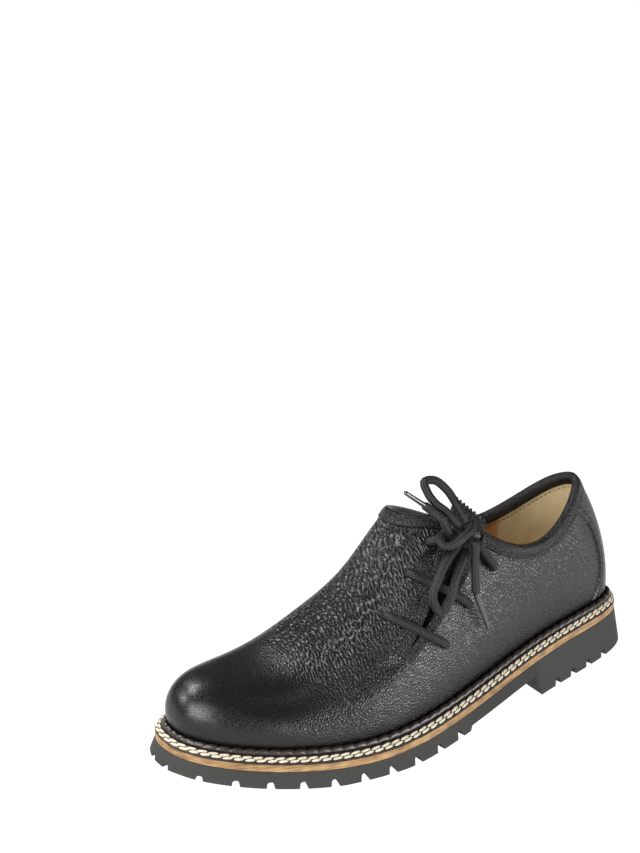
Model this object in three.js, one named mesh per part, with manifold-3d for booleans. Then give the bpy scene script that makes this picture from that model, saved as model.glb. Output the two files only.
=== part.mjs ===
// Haferl shoe, left foot, side laced, millimetres.
// +X points to the toe, +Y to the outer side of the foot, +Z up. The sole stands on z = 0.
import * as THREE from 'three';
import { mergeVertices } from 'three/addons/utils/BufferGeometryUtils.js';
import Module from 'manifold-3d';

const wasm = await Module();
wasm.setup();

// Driving dimensions
const soleLength = 300;
const ballWidth = 109.3;
const heelSeatHeight = 23.2;
const ballSeatHeight = 10.3;
const toeSpring = 14.3;
const throatHeight = 121;
const collarBackHeight = 108;
const toeRoundness = 2.38;
const heelRoundness = 2.34;

const midsoleThickness = 4;
const weltThickness = 3;
const weltEdge = 0.8;
const weltSlopeShare = 0.45;
const insoleThickness = 4.5;
const rubberDepth = 8.6;
const shankRubber = 5.6;
const rubberFlare = 3.2;
const heelBreastBottom = 72;
const heelBreastTop = 69;
const forefootRubberEnd = 12;
const lugDepth = 3.9;
const lugLength = 15;
const grooveWidth = 4;
const notchWidth = 5.4;
const notchTopWidth = 3.4;
const firstLug = 6;
const frontLugPitch = 19.3;
const lugPitchLoss = 0.22;
const frontLugs = 11;
const heelLugPitch = 14.2;
const firstHeelLug = 18;
const heelLugs = 4;

const wall = 2.2;
const upperMargin = 8.3;
const sideBulge = 2.5;
const throatPlace = 2;

const beadWidth = 3.4;
const beadHeight = 3.3;
const beadPitch = 7;
const bandWidth = 6;
const bandThickness = 1.3;
const strapThickness = 1.3;
const tongueThickness = 1.6;
const tongueHalfWidth = 10;
const tongueTipReach = 8;
const tongueTipShare = 0.55;
const tongueStandOut = 9;
const tongueLean = 0.8;
const scallopDepth = 1.6;
const scallops = 5;

const laceDiameter = 4.8;
const laceHole = 6.8;
const knotRadius = 6.5;
const agletDiameter = 3.2;
const agletGap = 0.8;

const gap = 0.3;
const bandGap = 0.4;
const beadGap = 1.1;

// Colours of the materials
const leatherBlack = { color: 0x1b1b1c, roughness: 0.42, metalness: 0 };
const rubberGrey = { color: 0x30302e, roughness: 0.85, metalness: 0 };
const leatherBrown = { color: 0x96693c, roughness: 0.6, metalness: 0 };
const beadDark = { color: 0x201a18, roughness: 0.35, metalness: 0 };
const sockBeige = { color: 0xb49468, roughness: 0.9, metalness: 0 };
const laceBlack = { color: 0x1d1e20, roughness: 0.8, metalness: 0 };
const clearBlack = { color: 0x2b2c30, roughness: 0.15, metalness: 0 };

// Tables. Places along the shoe are shares of the sole's length from the heel.
const soleRows = [
  { at: 0, outer: 0.311, inner: 0.311 },
  { at: 0.15, outer: 0.311, inner: 0.311 },
  { at: 0.37, outer: 0.421, inner: 0.302 },
  { at: 0.62, outer: 0.533, inner: 0.448 },
  { at: 0.8, outer: 0.503, inner: 0.467 },
  { at: 1, outer: 0.453, inner: 0.444 },
];
// Shares of the drop from heel seat to ball, and of the toe spring above the ball.
const seatRows = [
  { at: 0, drop: 0, spring: 0 },
  { at: 0.27, drop: 0.04, spring: 0 },
  { at: 0.45, drop: 0.5, spring: 0 },
  { at: 0.65, drop: 1, spring: 0 },
  { at: 0.82, drop: 1, spring: 0.25 },
  { at: 1, drop: 1, spring: 1 },
];
// Height of the closed last's ridge, as shares of the throat's height.
const ridgeRows = [
  { at: 0, high: 1.033 },
  { at: 0.15, high: 1.05 },
  { at: 0.3, high: 1.05 },
  { at: 0.42, high: 1.041 },
  { at: 0.5, high: 1 },
  { at: 0.58, high: 0.769 },
  { at: 0.66, high: 0.607 },
  { at: 0.74, high: 0.512 },
  { at: 0.82, high: 0.471 },
  { at: 0.91, high: 0.492 },
  { at: 1, high: 0.554 },
];
// How square a section is across and upward, and how far its top leans in.
const sectionRows = [
  { at: 0, across: 2.4, upward: 2.6, lean: 0.25 },
  { at: 0.12, across: 2.8, upward: 2.9, lean: 0.21 },
  { at: 0.3, across: 3, upward: 2.7, lean: 0.1 },
  { at: 0.5, across: 1.8, upward: 2.5, lean: 0.2 },
  { at: 0.65, across: 2.4, upward: 2, lean: 0.05 },
  { at: 0.8, across: 2.8, upward: 2, lean: 0 },
  { at: 0.92, across: 3.3, upward: 2.8, lean: 0 },
  { at: 1, across: 3.8, upward: 3.1, lean: 0 },
];
// Upper's distance in from the sole's edge, and the ridge's shift to the inner side.
const marginRows = [
  { at: 0, inset: 0.76 },
  { at: 0.2, inset: 0.9 },
  { at: 0.5, inset: 1 },
  { at: 1, inset: 0.97 },
];
const ridgeShiftRows = [
  { at: 0, shift: 0 },
  { at: 0.15, shift: -0.009 },
  { at: 0.3, shift: -0.06 },
  { at: 0.5, shift: -0.037 },
  { at: 0.65, shift: -0.041 },
  { at: 0.8, shift: -0.049 },
  { at: 1, shift: -0.038 },
];
// Collar heights from the throat to the back, shares of throat height and back height.
const collarRows = [
  { at: 0.12, outer: 0.942, inner: 0.86 },
  { at: 0.25, outer: 0.785, inner: 0.736 },
  { at: 0.4, outer: 0.711, inner: 0.756 },
  { at: 0.55, outer: 0.777, inner: 0.835 },
  { at: 0.7, outer: 0.851, inner: 0.876 },
  { at: 0.85, outer: 0.876, inner: 0.888 },
];
// Side slit, seen from the outer side: shares of half the sole's length and of throat height.
const slitRows = [
  { x: 0.159, z: 0.463 },
  { x: 0.069, z: 0.568 },
  { x: -0.111, z: 0.849 },
  { x: -0.2, z: 1.02 },
  { x: -0.36, z: 1.02 },
  { x: -0.187, z: 0.792 },
  { x: 0.057, z: 0.55 },
];
// Lace holes on the vamp side and on the quarter side, in the same shares.
const laceHoles = {
  lowFront: { x: 0.17, z: 0.626 },
  lowBack: { x: -0.017, z: 0.467 },
  midFront: { x: 0.053, z: 0.781 },
  midBack: { x: -0.147, z: 0.599 },
  topFront: { x: -0.053, z: 0.889 },
  topBack: { x: -0.287, z: 0.713 },
};
// Edge of the back strap on both sides: share of its height and place round the heel.
const strapRows = [
  { at: 0, edge: 0.83 },
  { at: 0.15, edge: 0.858 },
  { at: 0.4, edge: 0.872 },
  { at: 0.75, edge: 0.845 },
  { at: 1, edge: 0.8 },
];

// Natural cubic spline through a column of a table
function columnCurve(rows, name) {
  const x = rows.map((row) => row.at);
  const y = rows.map((row) => row[name]);
  const last = x.length - 1;
  const bend = new Array(x.length).fill(0);
  const carry = new Array(x.length).fill(0);
  for (let i = 1; i < last; i += 1) {
    const share = (x[i] - x[i - 1]) / (x[i + 1] - x[i - 1]);
    const pivot = share * bend[i - 1] + 2;
    const slopeAfter = (y[i + 1] - y[i]) / (x[i + 1] - x[i]);
    const slopeBefore = (y[i] - y[i - 1]) / (x[i] - x[i - 1]);
    const change = (6 * (slopeAfter - slopeBefore)) / (x[i + 1] - x[i - 1]);
    bend[i] = (share - 1) / pivot;
    carry[i] = (change - share * carry[i - 1]) / pivot;
  }
  const second = new Array(x.length).fill(0);
  for (let i = last - 1; i > 0; i -= 1) {
    second[i] = bend[i] * second[i + 1] + carry[i];
  }
  return (place) => {
    const at = THREE.MathUtils.clamp(place, x[0], x[last]);
    let i = 0;
    while (i < last - 1 && at > x[i + 1]) {
      i += 1;
    }
    const span = x[i + 1] - x[i];
    const a = (x[i + 1] - at) / span;
    const b = (at - x[i]) / span;
    const cubic = ((a ** 3 - a) * second[i] + (b ** 3 - b) * second[i + 1]) * (span ** 2 / 6);
    return a * y[i] + b * y[i + 1] + cubic;
  };
}

const outerWidth = columnCurve(soleRows, 'outer');
const innerWidth = columnCurve(soleRows, 'inner');
const seatDrop = columnCurve(seatRows, 'drop');
const seatSpring = columnCurve(seatRows, 'spring');
const ridgeHigh = columnCurve(ridgeRows, 'high');
const across = columnCurve(sectionRows, 'across');
const upward = columnCurve(sectionRows, 'upward');
const lean = columnCurve(sectionRows, 'lean');
const marginShare = columnCurve(marginRows, 'inset');
const ridgeShift = columnCurve(ridgeShiftRows, 'shift');
const strapEdge = columnCurve(strapRows, 'edge');

// Sole's plan and side line
const halfLength = soleLength / 2;
const outerSide = 1;
const innerSide = -1;
const share = (x) => 0.5 + x / soleLength;

// Height of the midsole's middle
function seatHeight(x) {
  const at = share(x);
  return heelSeatHeight - (heelSeatHeight - ballSeatHeight) * seatDrop(at) + toeSpring * seatSpring(at);
}

function plainOutline(side, u) {
  const along = Math.cos(Math.PI * u);
  const power = along > 0 ? toeRoundness : heelRoundness;
  const reach = Math.max(1 - Math.abs(along) ** power, 0) ** (1 / power);
  const width = ballWidth * (side > 0 ? outerWidth(0.5 + along / 2) : innerWidth(0.5 + along / 2));
  return new THREE.Vector2(along * halfLength, side * width * reach);
}

// Point of the outline at station u, from toe 0 to heel 1, moved in by an inset
function outline(side, u, inset) {
  const point = plainOutline(side, u);
  if (u === 0 || u === 1) {
    return new THREE.Vector2(point.x - Math.sign(point.x) * inset, 0);
  }
  const step = 1e-4;
  const before = plainOutline(side, Math.max(u - step, 0));
  const after = plainOutline(side, Math.min(u + step, 1));
  const run = after.sub(before).normalize();
  return new THREE.Vector2(point.x - side * run.y * inset, point.y + side * run.x * inset);
}

// Last's surface: a rib rises from the sole at station u to the ridge, t from 0 to 1
const ridgeFrontStart = 40;
const ridgeFrontEnd = 92;
const ridgeFrontReach = 0.951 * halfLength;
const ridgeBackStart = -60;
const ridgeBackEnd = -95;
const upperLift = midsoleThickness / 2 + gap + weltThickness + gap;

function ridgeEase(along, start, end, reach) {
  const part = THREE.MathUtils.clamp((along - start) / (reach - start), 0, 1);
  const power = (reach - start) / (end - start);
  return start + (end - start) * (1 - (1 - part) ** power);
}

function ridgePlace(along) {
  if (along > ridgeFrontStart) {
    return ridgeEase(along, ridgeFrontStart, ridgeFrontEnd, ridgeFrontReach);
  }
  if (along < ridgeBackStart) {
    return ridgeEase(along, ridgeBackStart, ridgeBackEnd, -halfLength);
  }
  return along;
}

function rib(side, u, t) {
  const along = Math.cos(Math.PI * u) * halfLength;
  const at = share(along);
  const base = outline(side, u, upperMargin * marginShare(at));
  const edge = outline(side, u, 0);
  const bottom = seatHeight(base.x) + upperLift;
  const ridgeX = ridgePlace(along);
  const ridgeY = ballWidth * ridgeShift(share(ridgeX));
  const angle = (t * Math.PI) / 2;
  const rise = t >= 1 ? 1 : Math.sin(angle) ** (2 / upward(at));
  const spread = t >= 1 ? 0 : Math.cos(angle) ** (2 / across(at)) * (1 - lean(at) * rise);
  const outward = edge.sub(base).normalize().multiplyScalar(sideBulge * 6.75 * rise * (1 - rise) ** 2);
  const x = ridgeX + (base.x - ridgeX) * spread + outward.x;
  const y = ridgeY + (base.y - ridgeY) * spread + outward.y;
  const top = throatHeight * ridgeHigh(share(x));
  return new THREE.Vector3(x, y, bottom + (top - bottom) * rise);
}

function ribNormal(side, u, t) {
  const du = 0.003;
  const dt = 0.006;
  const high = Math.min(t + dt, 1);
  const low = Math.max(t - dt, 0);
  const alongStep = rib(side, Math.min(u + du, 1), t).sub(rib(side, Math.max(u - du, 0), t));
  const upStep = rib(side, u, high).sub(rib(side, u, low));
  return alongStep.cross(upStep).multiplyScalar(side).normalize();
}

// Collar line
const throatStation = Math.acos(throatPlace / halfLength) / Math.PI;
const throatTop = rib(outerSide, throatStation, 1).z;
const collarEnds = { back: collarBackHeight / throatHeight, front: throatTop / throatHeight };
const allCollarRows = [
  { at: 0, outer: collarEnds.front, inner: collarEnds.front },
  ...collarRows,
  { at: 1, outer: collarEnds.back, inner: collarEnds.back },
];
const outerCollar = columnCurve(allCollarRows, 'outer');
const innerCollar = columnCurve(allCollarRows, 'inner');

function collarT(side, u) {
  if (u <= throatStation) {
    return 1;
  }
  const run = (u - throatStation) / (1 - throatStation);
  const height = throatHeight * (side > 0 ? outerCollar(run) : innerCollar(run));
  let low = 0;
  let high = 1;
  for (let i = 0; i < 40; i += 1) {
    const middle = (low + high) / 2;
    if (rib(side, u, middle).z < height) {
      low = middle;
    } else {
      high = middle;
    }
  }
  return (low + high) / 2;
}

// Stations round the shoe
const frontStations = 20;
const backStations = 21;
const throatCrowding = 1.3;
const stations = [];
for (let i = 0; i < frontStations; i += 1) {
  stations.push((throatStation * i) / frontStations);
}
for (let i = 0; i <= backStations; i += 1) {
  stations.push(throatStation + (1 - throatStation) * (i / backStations) ** throatCrowding);
}

// All round: outer side from toe to heel, then inner side back to the toe
const roundTrip = [
  ...stations.map((u) => ({ side: outerSide, u })),
  ...stations.slice(1, -1).reverse().map((u) => ({ side: innerSide, u })),
];

// Mesh helpers
function makeGeometry(points, triangles) {
  const geometry = new THREE.BufferGeometry();
  const flat = points.flatMap((point) => [point.x, point.y, point.z]);
  geometry.setAttribute('position', new THREE.Float32BufferAttribute(flat, 3));
  geometry.setIndex(triangles.flat());
  return geometry;
}

// Points that coincide become one, and triangles that lose a side go
function weld(points, triangles) {
  const places = new Map();
  const kept = [];
  const index = points.map((point) => {
    const key = [point.x, point.y, point.z].map((value) => Math.round(value * 1000)).join(' ');
    if (!places.has(key)) {
      places.set(key, kept.length);
      kept.push(point);
    }
    return places.get(key);
  });
  const faces = triangles
    .map((face) => face.map((corner) => index[corner]))
    .filter(([a, b, c]) => a !== b && b !== c && c !== a);
  return { points: kept, faces };
}

// Closed loop of sections: rings[i] is a list of points, all of one length
function loopOfSections(rings) {
  const count = rings[0].length;
  const triangles = [];
  rings.forEach((ring, i) => {
    const next = (i + 1) % rings.length;
    for (let k = 0; k < count; k += 1) {
      const a = i * count + k;
      const b = i * count + ((k + 1) % count);
      const c = next * count + k;
      const d = next * count + ((k + 1) % count);
      triangles.push([a, c, b], [b, c, d]);
    }
  });
  const { points, faces } = weld(rings.flat(), triangles);
  return outward(makeGeometry(points, faces));
}

// Grid of points front[i][k] and back[i][k], closed round its edge
function sheet(front, back) {
  const rows = front.length;
  const columns = front[0].length;
  const points = [...front.flat(), ...back.flat()];
  const half = rows * columns;
  const triangles = [];
  const quad = (a, b, c, d) => triangles.push([a, b, c], [a, c, d]);
  for (let i = 0; i < rows - 1; i += 1) {
    for (let k = 0; k < columns - 1; k += 1) {
      const a = i * columns + k;
      quad(a, a + 1, a + columns + 1, a + columns);
      quad(half + a, half + a + columns, half + a + columns + 1, half + a + 1);
    }
  }
  for (let k = 0; k < columns - 1; k += 1) {
    const end = (rows - 1) * columns + k;
    quad(k, half + k, half + k + 1, k + 1);
    quad(end, end + 1, half + end + 1, half + end);
  }
  for (let i = 0; i < rows - 1; i += 1) {
    const left = i * columns;
    const right = left + columns - 1;
    quad(left, left + columns, half + left + columns, half + left);
    quad(right, half + right, half + right + columns, right + columns);
  }
  const welded = weld(points, triangles);
  return outward(makeGeometry(welded.points, welded.faces));
}

function volumeOf(geometry) {
  const position = geometry.getAttribute('position');
  const index = geometry.getIndex();
  const corner = (i) => new THREE.Vector3().fromBufferAttribute(position, index.getX(i));
  let total = 0;
  for (let i = 0; i < index.count; i += 3) {
    total += corner(i).dot(corner(i + 1).cross(corner(i + 2)));
  }
  return total / 6;
}

// Turns a closed mesh inside out if its faces point in
function outward(geometry) {
  if (volumeOf(geometry) < 0) {
    const index = geometry.getIndex();
    for (let i = 0; i < index.count; i += 3) {
      const first = index.getX(i);
      index.setX(i, index.getX(i + 1));
      index.setX(i + 1, first);
    }
  }
  return geometry;
}

function toSolid(geometry) {
  const bare = geometry.clone();
  bare.deleteAttribute('normal');
  bare.deleteAttribute('uv');
  const merged = mergeVertices(bare, 1e-4);
  const vertProperties = new Float32Array(merged.getAttribute('position').array);
  const triVerts = new Uint32Array(merged.getIndex().array);
  return new wasm.Manifold(new wasm.Mesh({ numProp: 3, vertProperties, triVerts }));
}

function fromSolid(solid) {
  const mesh = solid.getMesh();
  const geometry = new THREE.BufferGeometry();
  geometry.setAttribute('position', new THREE.BufferAttribute(new Float32Array(mesh.vertProperties), 3));
  geometry.setIndex(new THREE.BufferAttribute(new Uint32Array(mesh.triVerts), 1));
  return geometry;
}

// A cut piece without its offcuts
function largestBody(solid) {
  return solid.decompose().reduce((most, body) => (body.volume() > most.volume() ? body : most));
}

// Sole plates
const point3 = (flat, z) => new THREE.Vector3(flat.x, flat.y, z);

function plate(list, topInset, bottomInset, topHeight, bottomHeight) {
  const top = [];
  const bottom = [];
  list.forEach((u) => {
    const topEdge = [outerSide, innerSide].map((side) => outline(side, u, topInset));
    const bottomEdge = [outerSide, innerSide].map((side) => outline(side, u, bottomInset));
    top.push(topEdge.map((edge) => point3(edge, topHeight(edge.x))));
    bottom.push(bottomEdge.map((edge) => point3(edge, bottomHeight(edge.x))));
  });
  return sheet(top, bottom);
}

// Loop round the sole between two insets
function soleLoop(trip, section) {
  return loopOfSections(trip.map(section));
}

const soleSteps = 44;
const soleStations = [];
for (let i = 0; i <= soleSteps; i += 1) {
  soleStations.push(i / soleSteps);
}

function stationOf(x) {
  return Math.acos(x / halfLength) / Math.PI;
}

// Sole stations with extra ones at the breast of the heel and the end of the forefoot
const breastStep = 1;
const breaks = [
  -heelBreastBottom,
  -heelBreastTop,
  -forefootRubberEnd,
  -forefootRubberEnd + breastStep,
].map(stationOf);
const nearBreak = (u) => breaks.some((place) => Math.abs(place - u) < 0.006);
const rubberStations = [...soleStations.filter((u) => !nearBreak(u)), ...breaks].sort((a, b) => a - b);

const midsoleTop = (x) => seatHeight(x) + midsoleThickness / 2;
const midsoleBottom = (x) => seatHeight(x) - midsoleThickness / 2;
const rubberTop = (x) => midsoleBottom(x) - gap;
const footBottom = (x) => Math.max(rubberTop(x) - rubberDepth, 0);

function rubberBottom(x) {
  const shank = rubberTop(x) - shankRubber;
  if (x <= -heelBreastBottom) {
    return 0;
  }
  if (x < -heelBreastTop) {
    const part = (x + heelBreastBottom) / (heelBreastBottom - heelBreastTop);
    return (rubberTop(-heelBreastTop) - shankRubber) * part;
  }
  if (x <= -forefootRubberEnd + 1e-6) {
    return shank;
  }
  return footBottom(x);
}

// Distance round the outline from the toe, used to space the lugs
function stationAtDistance(side, distance) {
  const steps = 600;
  let walked = 0;
  let before = plainOutline(side, 0);
  for (let i = 1; i <= steps; i += 1) {
    const point = plainOutline(side, i / steps);
    walked += point.distanceTo(before);
    if (walked >= distance) {
      return i / steps;
    }
    before = point;
  }
  return 1;
}

function halfRound(side) {
  let walked = 0;
  let before = plainOutline(side, 0);
  const steps = 600;
  for (let i = 1; i <= steps; i += 1) {
    const point = plainOutline(side, i / steps);
    walked += point.distanceTo(before);
    before = point;
  }
  return walked;
}

// Wedge-sided channel that parts two lugs, cut in from the edge
function lugChannel(side, u) {
  const outer = outline(side, u, -rubberFlare - 2);
  const inner = outline(side, u, lugLength + grooveWidth / 2);
  const run = outer.distanceTo(inner);
  const bottom = rubberBottom(outline(side, u, lugLength / 2).x);
  const shape = new THREE.Shape([
    new THREE.Vector2(-notchWidth / 2 - 0.5, -3),
    new THREE.Vector2(notchWidth / 2 + 0.5, -3),
    new THREE.Vector2(notchTopWidth / 2, lugDepth),
    new THREE.Vector2(-notchTopWidth / 2, lugDepth),
  ]);
  const channel = new THREE.ExtrudeGeometry(shape, { depth: run, bevelEnabled: false });
  const direction = new THREE.Vector3(inner.x - outer.x, inner.y - outer.y, 0).normalize();
  const sideways = new THREE.Vector3(0, 0, 1).cross(direction);
  const turn = new THREE.Matrix4().makeBasis(sideways, new THREE.Vector3(0, 0, 1), direction);
  turn.setPosition(outer.x, outer.y, bottom);
  channel.applyMatrix4(turn);
  return outward(mergeVertices(stripped(channel), 1e-4));
}

function stripped(geometry) {
  geometry.deleteAttribute('normal');
  geometry.deleteAttribute('uv');
  return geometry;
}

// Groove between the edge lugs and the middle of the tread
function treadGroove(from, to) {
  const steps = 18;
  const list = [];
  for (let i = 0; i <= steps; i += 1) {
    list.push(from + ((to - from) * i) / steps);
  }
  const floor = (x) => rubberBottom(x) + lugDepth;
  const under = () => -3;
  const outerPlate = toSolid(plate(list, lugLength, lugLength, floor, under));
  const shorter = list.map((u) => THREE.MathUtils.lerp(from + 0.018, to - 0.018, (u - from) / (to - from)));
  const inset = lugLength + grooveWidth;
  const innerPlate = toSolid(plate(shorter, inset, inset, (x) => floor(x) + 1, () => -4));
  return outerPlate.subtract(innerPlate);
}

// Where the tread's grooves stop, as shares of half the sole's length
const grooveEnds = { toe: 0.78, heel: -0.84 };

function makeOutsole() {
  const body = plate(rubberStations, 0, -rubberFlare, rubberTop, rubberBottom);
  let solid = toSolid(body);
  [outerSide, innerSide].forEach((side) => {
    for (let i = 0; i < frontLugs; i += 1) {
      const distance = firstLug + frontLugPitch * i - lugPitchLoss * i * i;
      solid = solid.subtract(toSolid(lugChannel(side, stationAtDistance(side, distance))));
    }
    const round = halfRound(side);
    for (let i = 0; i < heelLugs; i += 1) {
      const distance = round - firstHeelLug - heelLugPitch * i - heelLugPitch;
      solid = solid.subtract(toSolid(lugChannel(side, stationAtDistance(side, distance))));
    }
  });
  const frontEnd = stationOf(halfLength * grooveEnds.toe);
  const frontGroove = treadGroove(frontEnd, stationOf(-forefootRubberEnd + lugLength));
  const heelStart = stationOf(-heelBreastBottom - lugLength / 2);
  const heelGroove = treadGroove(heelStart, stationOf(halfLength * grooveEnds.heel));
  return fromSolid(solid.subtract(frontGroove).subtract(heelGroove));
}

function makeMidsole() {
  return plate(soleStations, 0, 0, midsoleTop, midsoleBottom);
}

const soleTrip = [
  ...soleStations.map((u) => ({ side: outerSide, u })),
  ...soleStations.slice(1, -1).reverse().map((u) => ({ side: innerSide, u })),
];

const marginAt = (u) => upperMargin * marginShare(0.5 + Math.cos(Math.PI * u) / 2);

// The welt's top slopes down to a thin outer edge
function makeWelt() {
  const bottom = midsoleThickness / 2 + gap;
  return soleLoop(soleTrip, ({ side, u }) => {
    const outer = outline(side, u, gap);
    const crest = outline(side, u, marginAt(u) * weltSlopeShare);
    const inner = outline(side, u, marginAt(u) + wall - gap / 2);
    return [
      point3(outer, seatHeight(outer.x) + bottom),
      point3(outer, seatHeight(outer.x) + bottom + weltEdge),
      point3(crest, seatHeight(crest.x) + bottom + weltThickness),
      point3(inner, seatHeight(inner.x) + bottom + weltThickness),
      point3(inner, seatHeight(inner.x) + bottom),
    ];
  });
}

// Storm bead: a low ridge on the welt, with a bump at every stitch
function makeBead() {
  const bumps = Math.round((halfRound(outerSide) + halfRound(innerSide)) / beadPitch / 2);
  const trip = [];
  [outerSide, innerSide].forEach((side) => {
    for (let i = 0; i < bumps * 2; i += 1) {
      const part = side > 0 ? i / (bumps * 2) : 1 - i / (bumps * 2);
      trip.push({ side, u: stationAtDistance(side, part * halfRound(side)), bump: i % 2 });
    }
  });
  trip[0].u = 0;
  trip[bumps * 2].u = 1;
  return soleLoop(trip, ({ side, u, bump }) => {
    const inset = marginAt(u) - beadGap;
    const width = beadWidth * (bump ? 1 : 0.75);
    const height = beadHeight * (bump ? 1 : 0.8);
    const inner = outline(side, u, inset);
    const middle = outline(side, u, inset - width * 0.45);
    const outer = outline(side, u, inset - width);
    const ground = (edge) => seatHeight(edge.x) + upperLift + gap;
    return [
      point3(outer, ground(outer)),
      point3(middle, ground(middle) + height),
      point3(inner, ground(inner) + height * 0.7),
      point3(inner, ground(inner)),
    ];
  });
}

function makeInsole() {
  const top = (x) => midsoleTop(x) + gap + insoleThickness;
  const bottom = (x) => midsoleTop(x) + gap;
  const rows = [[], []];
  stations.forEach((u) => {
    const edge = [outerSide, innerSide].map((side) => outline(side, u, marginAt(u) + wall + 2 * gap));
    rows[0].push(edge.map((flat) => point3(flat, top(flat.x))));
    rows[1].push(edge.map((flat) => point3(flat, bottom(flat.x))));
  });
  return sheet(rows[0], rows[1]);
}

// Upper
const upperRows = 12;
const rowCrowding = 1.35;

// Wall of even thickness behind an open skin of triangles, its outside moved out by a growth
function thicken(points, triangles, thickness, growth, isFlat) {
  const skin = weld(points, triangles);
  const normals = skin.points.map(() => new THREE.Vector3());
  const edges = new Map();
  skin.faces.forEach(([a, b, c]) => {
    const first = skin.points[b].clone().sub(skin.points[a]);
    const second = skin.points[c].clone().sub(skin.points[a]);
    const normal = first.cross(second);
    [a, b, c].forEach((corner) => normals[corner].add(normal));
    [[a, b], [b, c], [c, a]].forEach(([from, to]) => {
      const back = `${to} ${from}`;
      if (edges.has(back)) {
        edges.delete(back);
      } else {
        edges.set(`${from} ${to}`, [from, to]);
      }
    });
  });
  skin.points.forEach((point, i) => {
    if (isFlat(point)) {
      normals[i].z = 0;
    }
    normals[i].normalize();
  });
  const outer = skin.points.map((point, i) => point.clone().addScaledVector(normals[i], growth));
  const inner = skin.points.map((point, i) => point.clone().addScaledVector(normals[i], -thickness));
  const count = skin.points.length;
  const faces = [...skin.faces, ...skin.faces.map(([a, b, c]) => [count + a, count + c, count + b])];
  edges.forEach(([from, to]) => {
    faces.push([to, from, count + from], [to, count + from, count + to]);
  });
  return outward(makeGeometry([...outer, ...inner], faces));
}

function sideShape(rows) {
  return new THREE.Shape(rows.map((row) => new THREE.Vector2(row.x * halfLength, row.z * throatHeight)));
}

function slitCutter() {
  const reach = ballWidth;
  const cutter = new THREE.ExtrudeGeometry(sideShape(slitRows), { depth: reach, bevelEnabled: false });
  cutter.rotateX(Math.PI / 2);
  cutter.translate(0, reach + laceDiameter, 0);
  return toSolid(outward(mergeVertices(stripped(cutter), 1e-4)));
}

// Fine samples of the skin, used to lay pieces on it
const skinSamples = [];
[outerSide, innerSide].forEach((side) => {
  for (let i = 0; i <= 130; i += 1) {
    const u = 0.36 + (0.64 * i) / 130;
    for (let k = 0; k <= 70; k += 1) {
      const t = 0.002 + (0.996 * k) / 70;
      skinSamples.push({ side, point: rib(side, u, t), normal: ribNormal(side, u, t) });
    }
  }
});

// Point of the skin nearest to a place in space
function onSkin(place) {
  let best = null;
  let least = Infinity;
  skinSamples.forEach((sample) => {
    const distance = sample.point.distanceToSquared(place);
    if (distance < least) {
      least = distance;
      best = sample;
    }
  });
  const away = place.clone().sub(best.point).dot(best.normal);
  return { point: place.clone().addScaledVector(best.normal, -away), normal: best.normal };
}

// Point of the outer side's skin seen at x and z from the side
function onOuterSide(x, z) {
  let best = null;
  let least = Infinity;
  skinSamples.forEach((sample) => {
    if (sample.side < 0) {
      return;
    }
    const distance = (sample.point.x - x) ** 2 + (sample.point.z - z) ** 2;
    if (distance < least) {
      least = distance;
      best = sample;
    }
  });
  const { point, normal } = best;
  const y = point.y - ((x - point.x) * normal.x + (z - point.z) * normal.z) / normal.y;
  return { point: new THREE.Vector3(x, y, z), normal };
}

const holePlace = ({ x, z }) => onOuterSide(x * halfLength, z * throatHeight);

function holeCutter(hole) {
  const { point, normal } = holePlace(hole);
  const cutter = new THREE.CylinderGeometry(laceHole / 2, laceHole / 2, wall * 6, 10);
  cutter.applyQuaternion(new THREE.Quaternion().setFromUnitVectors(new THREE.Vector3(0, 1, 0), normal));
  cutter.translate(point.x, point.y, point.z);
  return toSolid(cutter);
}

// The upper's shell before its slit and holes, grown by a clearance on both faces, and lifted
function upperShell(growth, lift) {
  const points = [];
  const triangles = [];
  const columns = roundTrip.map(({ side, u }) => {
    const top = collarT(side, u);
    const column = [];
    for (let k = 0; k < upperRows; k += 1) {
      column.push(rib(side, u, top * (k / (upperRows - 1)) ** rowCrowding));
    }
    return column;
  });
  columns.forEach((column) => points.push(...column));
  columns.forEach((column, i) => {
    const next = ((i + 1) % columns.length) * upperRows;
    const here = i * upperRows;
    for (let k = 0; k < upperRows - 1; k += 1) {
      triangles.push([here + k, next + k, next + k + 1]);
      triangles.push([here + k, next + k + 1, here + k + 1]);
    }
  });
  const isFeather = (point) => Math.abs(point.z - seatHeight(point.x) - upperLift) < 1e-3;
  const shell = thicken(points, triangles, wall + growth, growth, isFeather);
  return toSolid(shell.translate(0, 0, lift));
}

function makeUpper() {
  let solid = upperShell(0, 0).subtract(slitCutter());
  Object.values(laceHoles).forEach((hole) => {
    solid = solid.subtract(holeCutter(hole));
  });
  return fromSolid(solid);
}

// Folded band along the collar, open at the slit
const innerFace = wall + 2 * gap;

// Ends of the band on the outer side, and how its fold is rounded
const bandEnds = { front: -0.125, back: -0.285 };

const bandShoulder = 0.3;
const bandRim = 0.1;

function bandPath() {
  const front = stationOf(bandEnds.front * halfLength);
  const back = stationOf(bandEnds.back * halfLength);
  const path = [];
  path.push({ side: outerSide, u: back });
  stations.filter((u) => u > back + 0.01).forEach((u) => path.push({ side: outerSide, u }));
  const innerStations = stations.filter((u) => u >= throatStation && u < 1).reverse();
  innerStations.forEach((u) => path.push({ side: innerSide, u }));
  const frontStations = stations.filter((u) => u > throatStation && u < front - 0.005);
  frontStations.forEach((u) => path.push({ side: outerSide, u }));
  path.push({ side: outerSide, u: front });
  return path.map(({ side, u }) => rib(side, u, collarT(side, u)));
}

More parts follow.
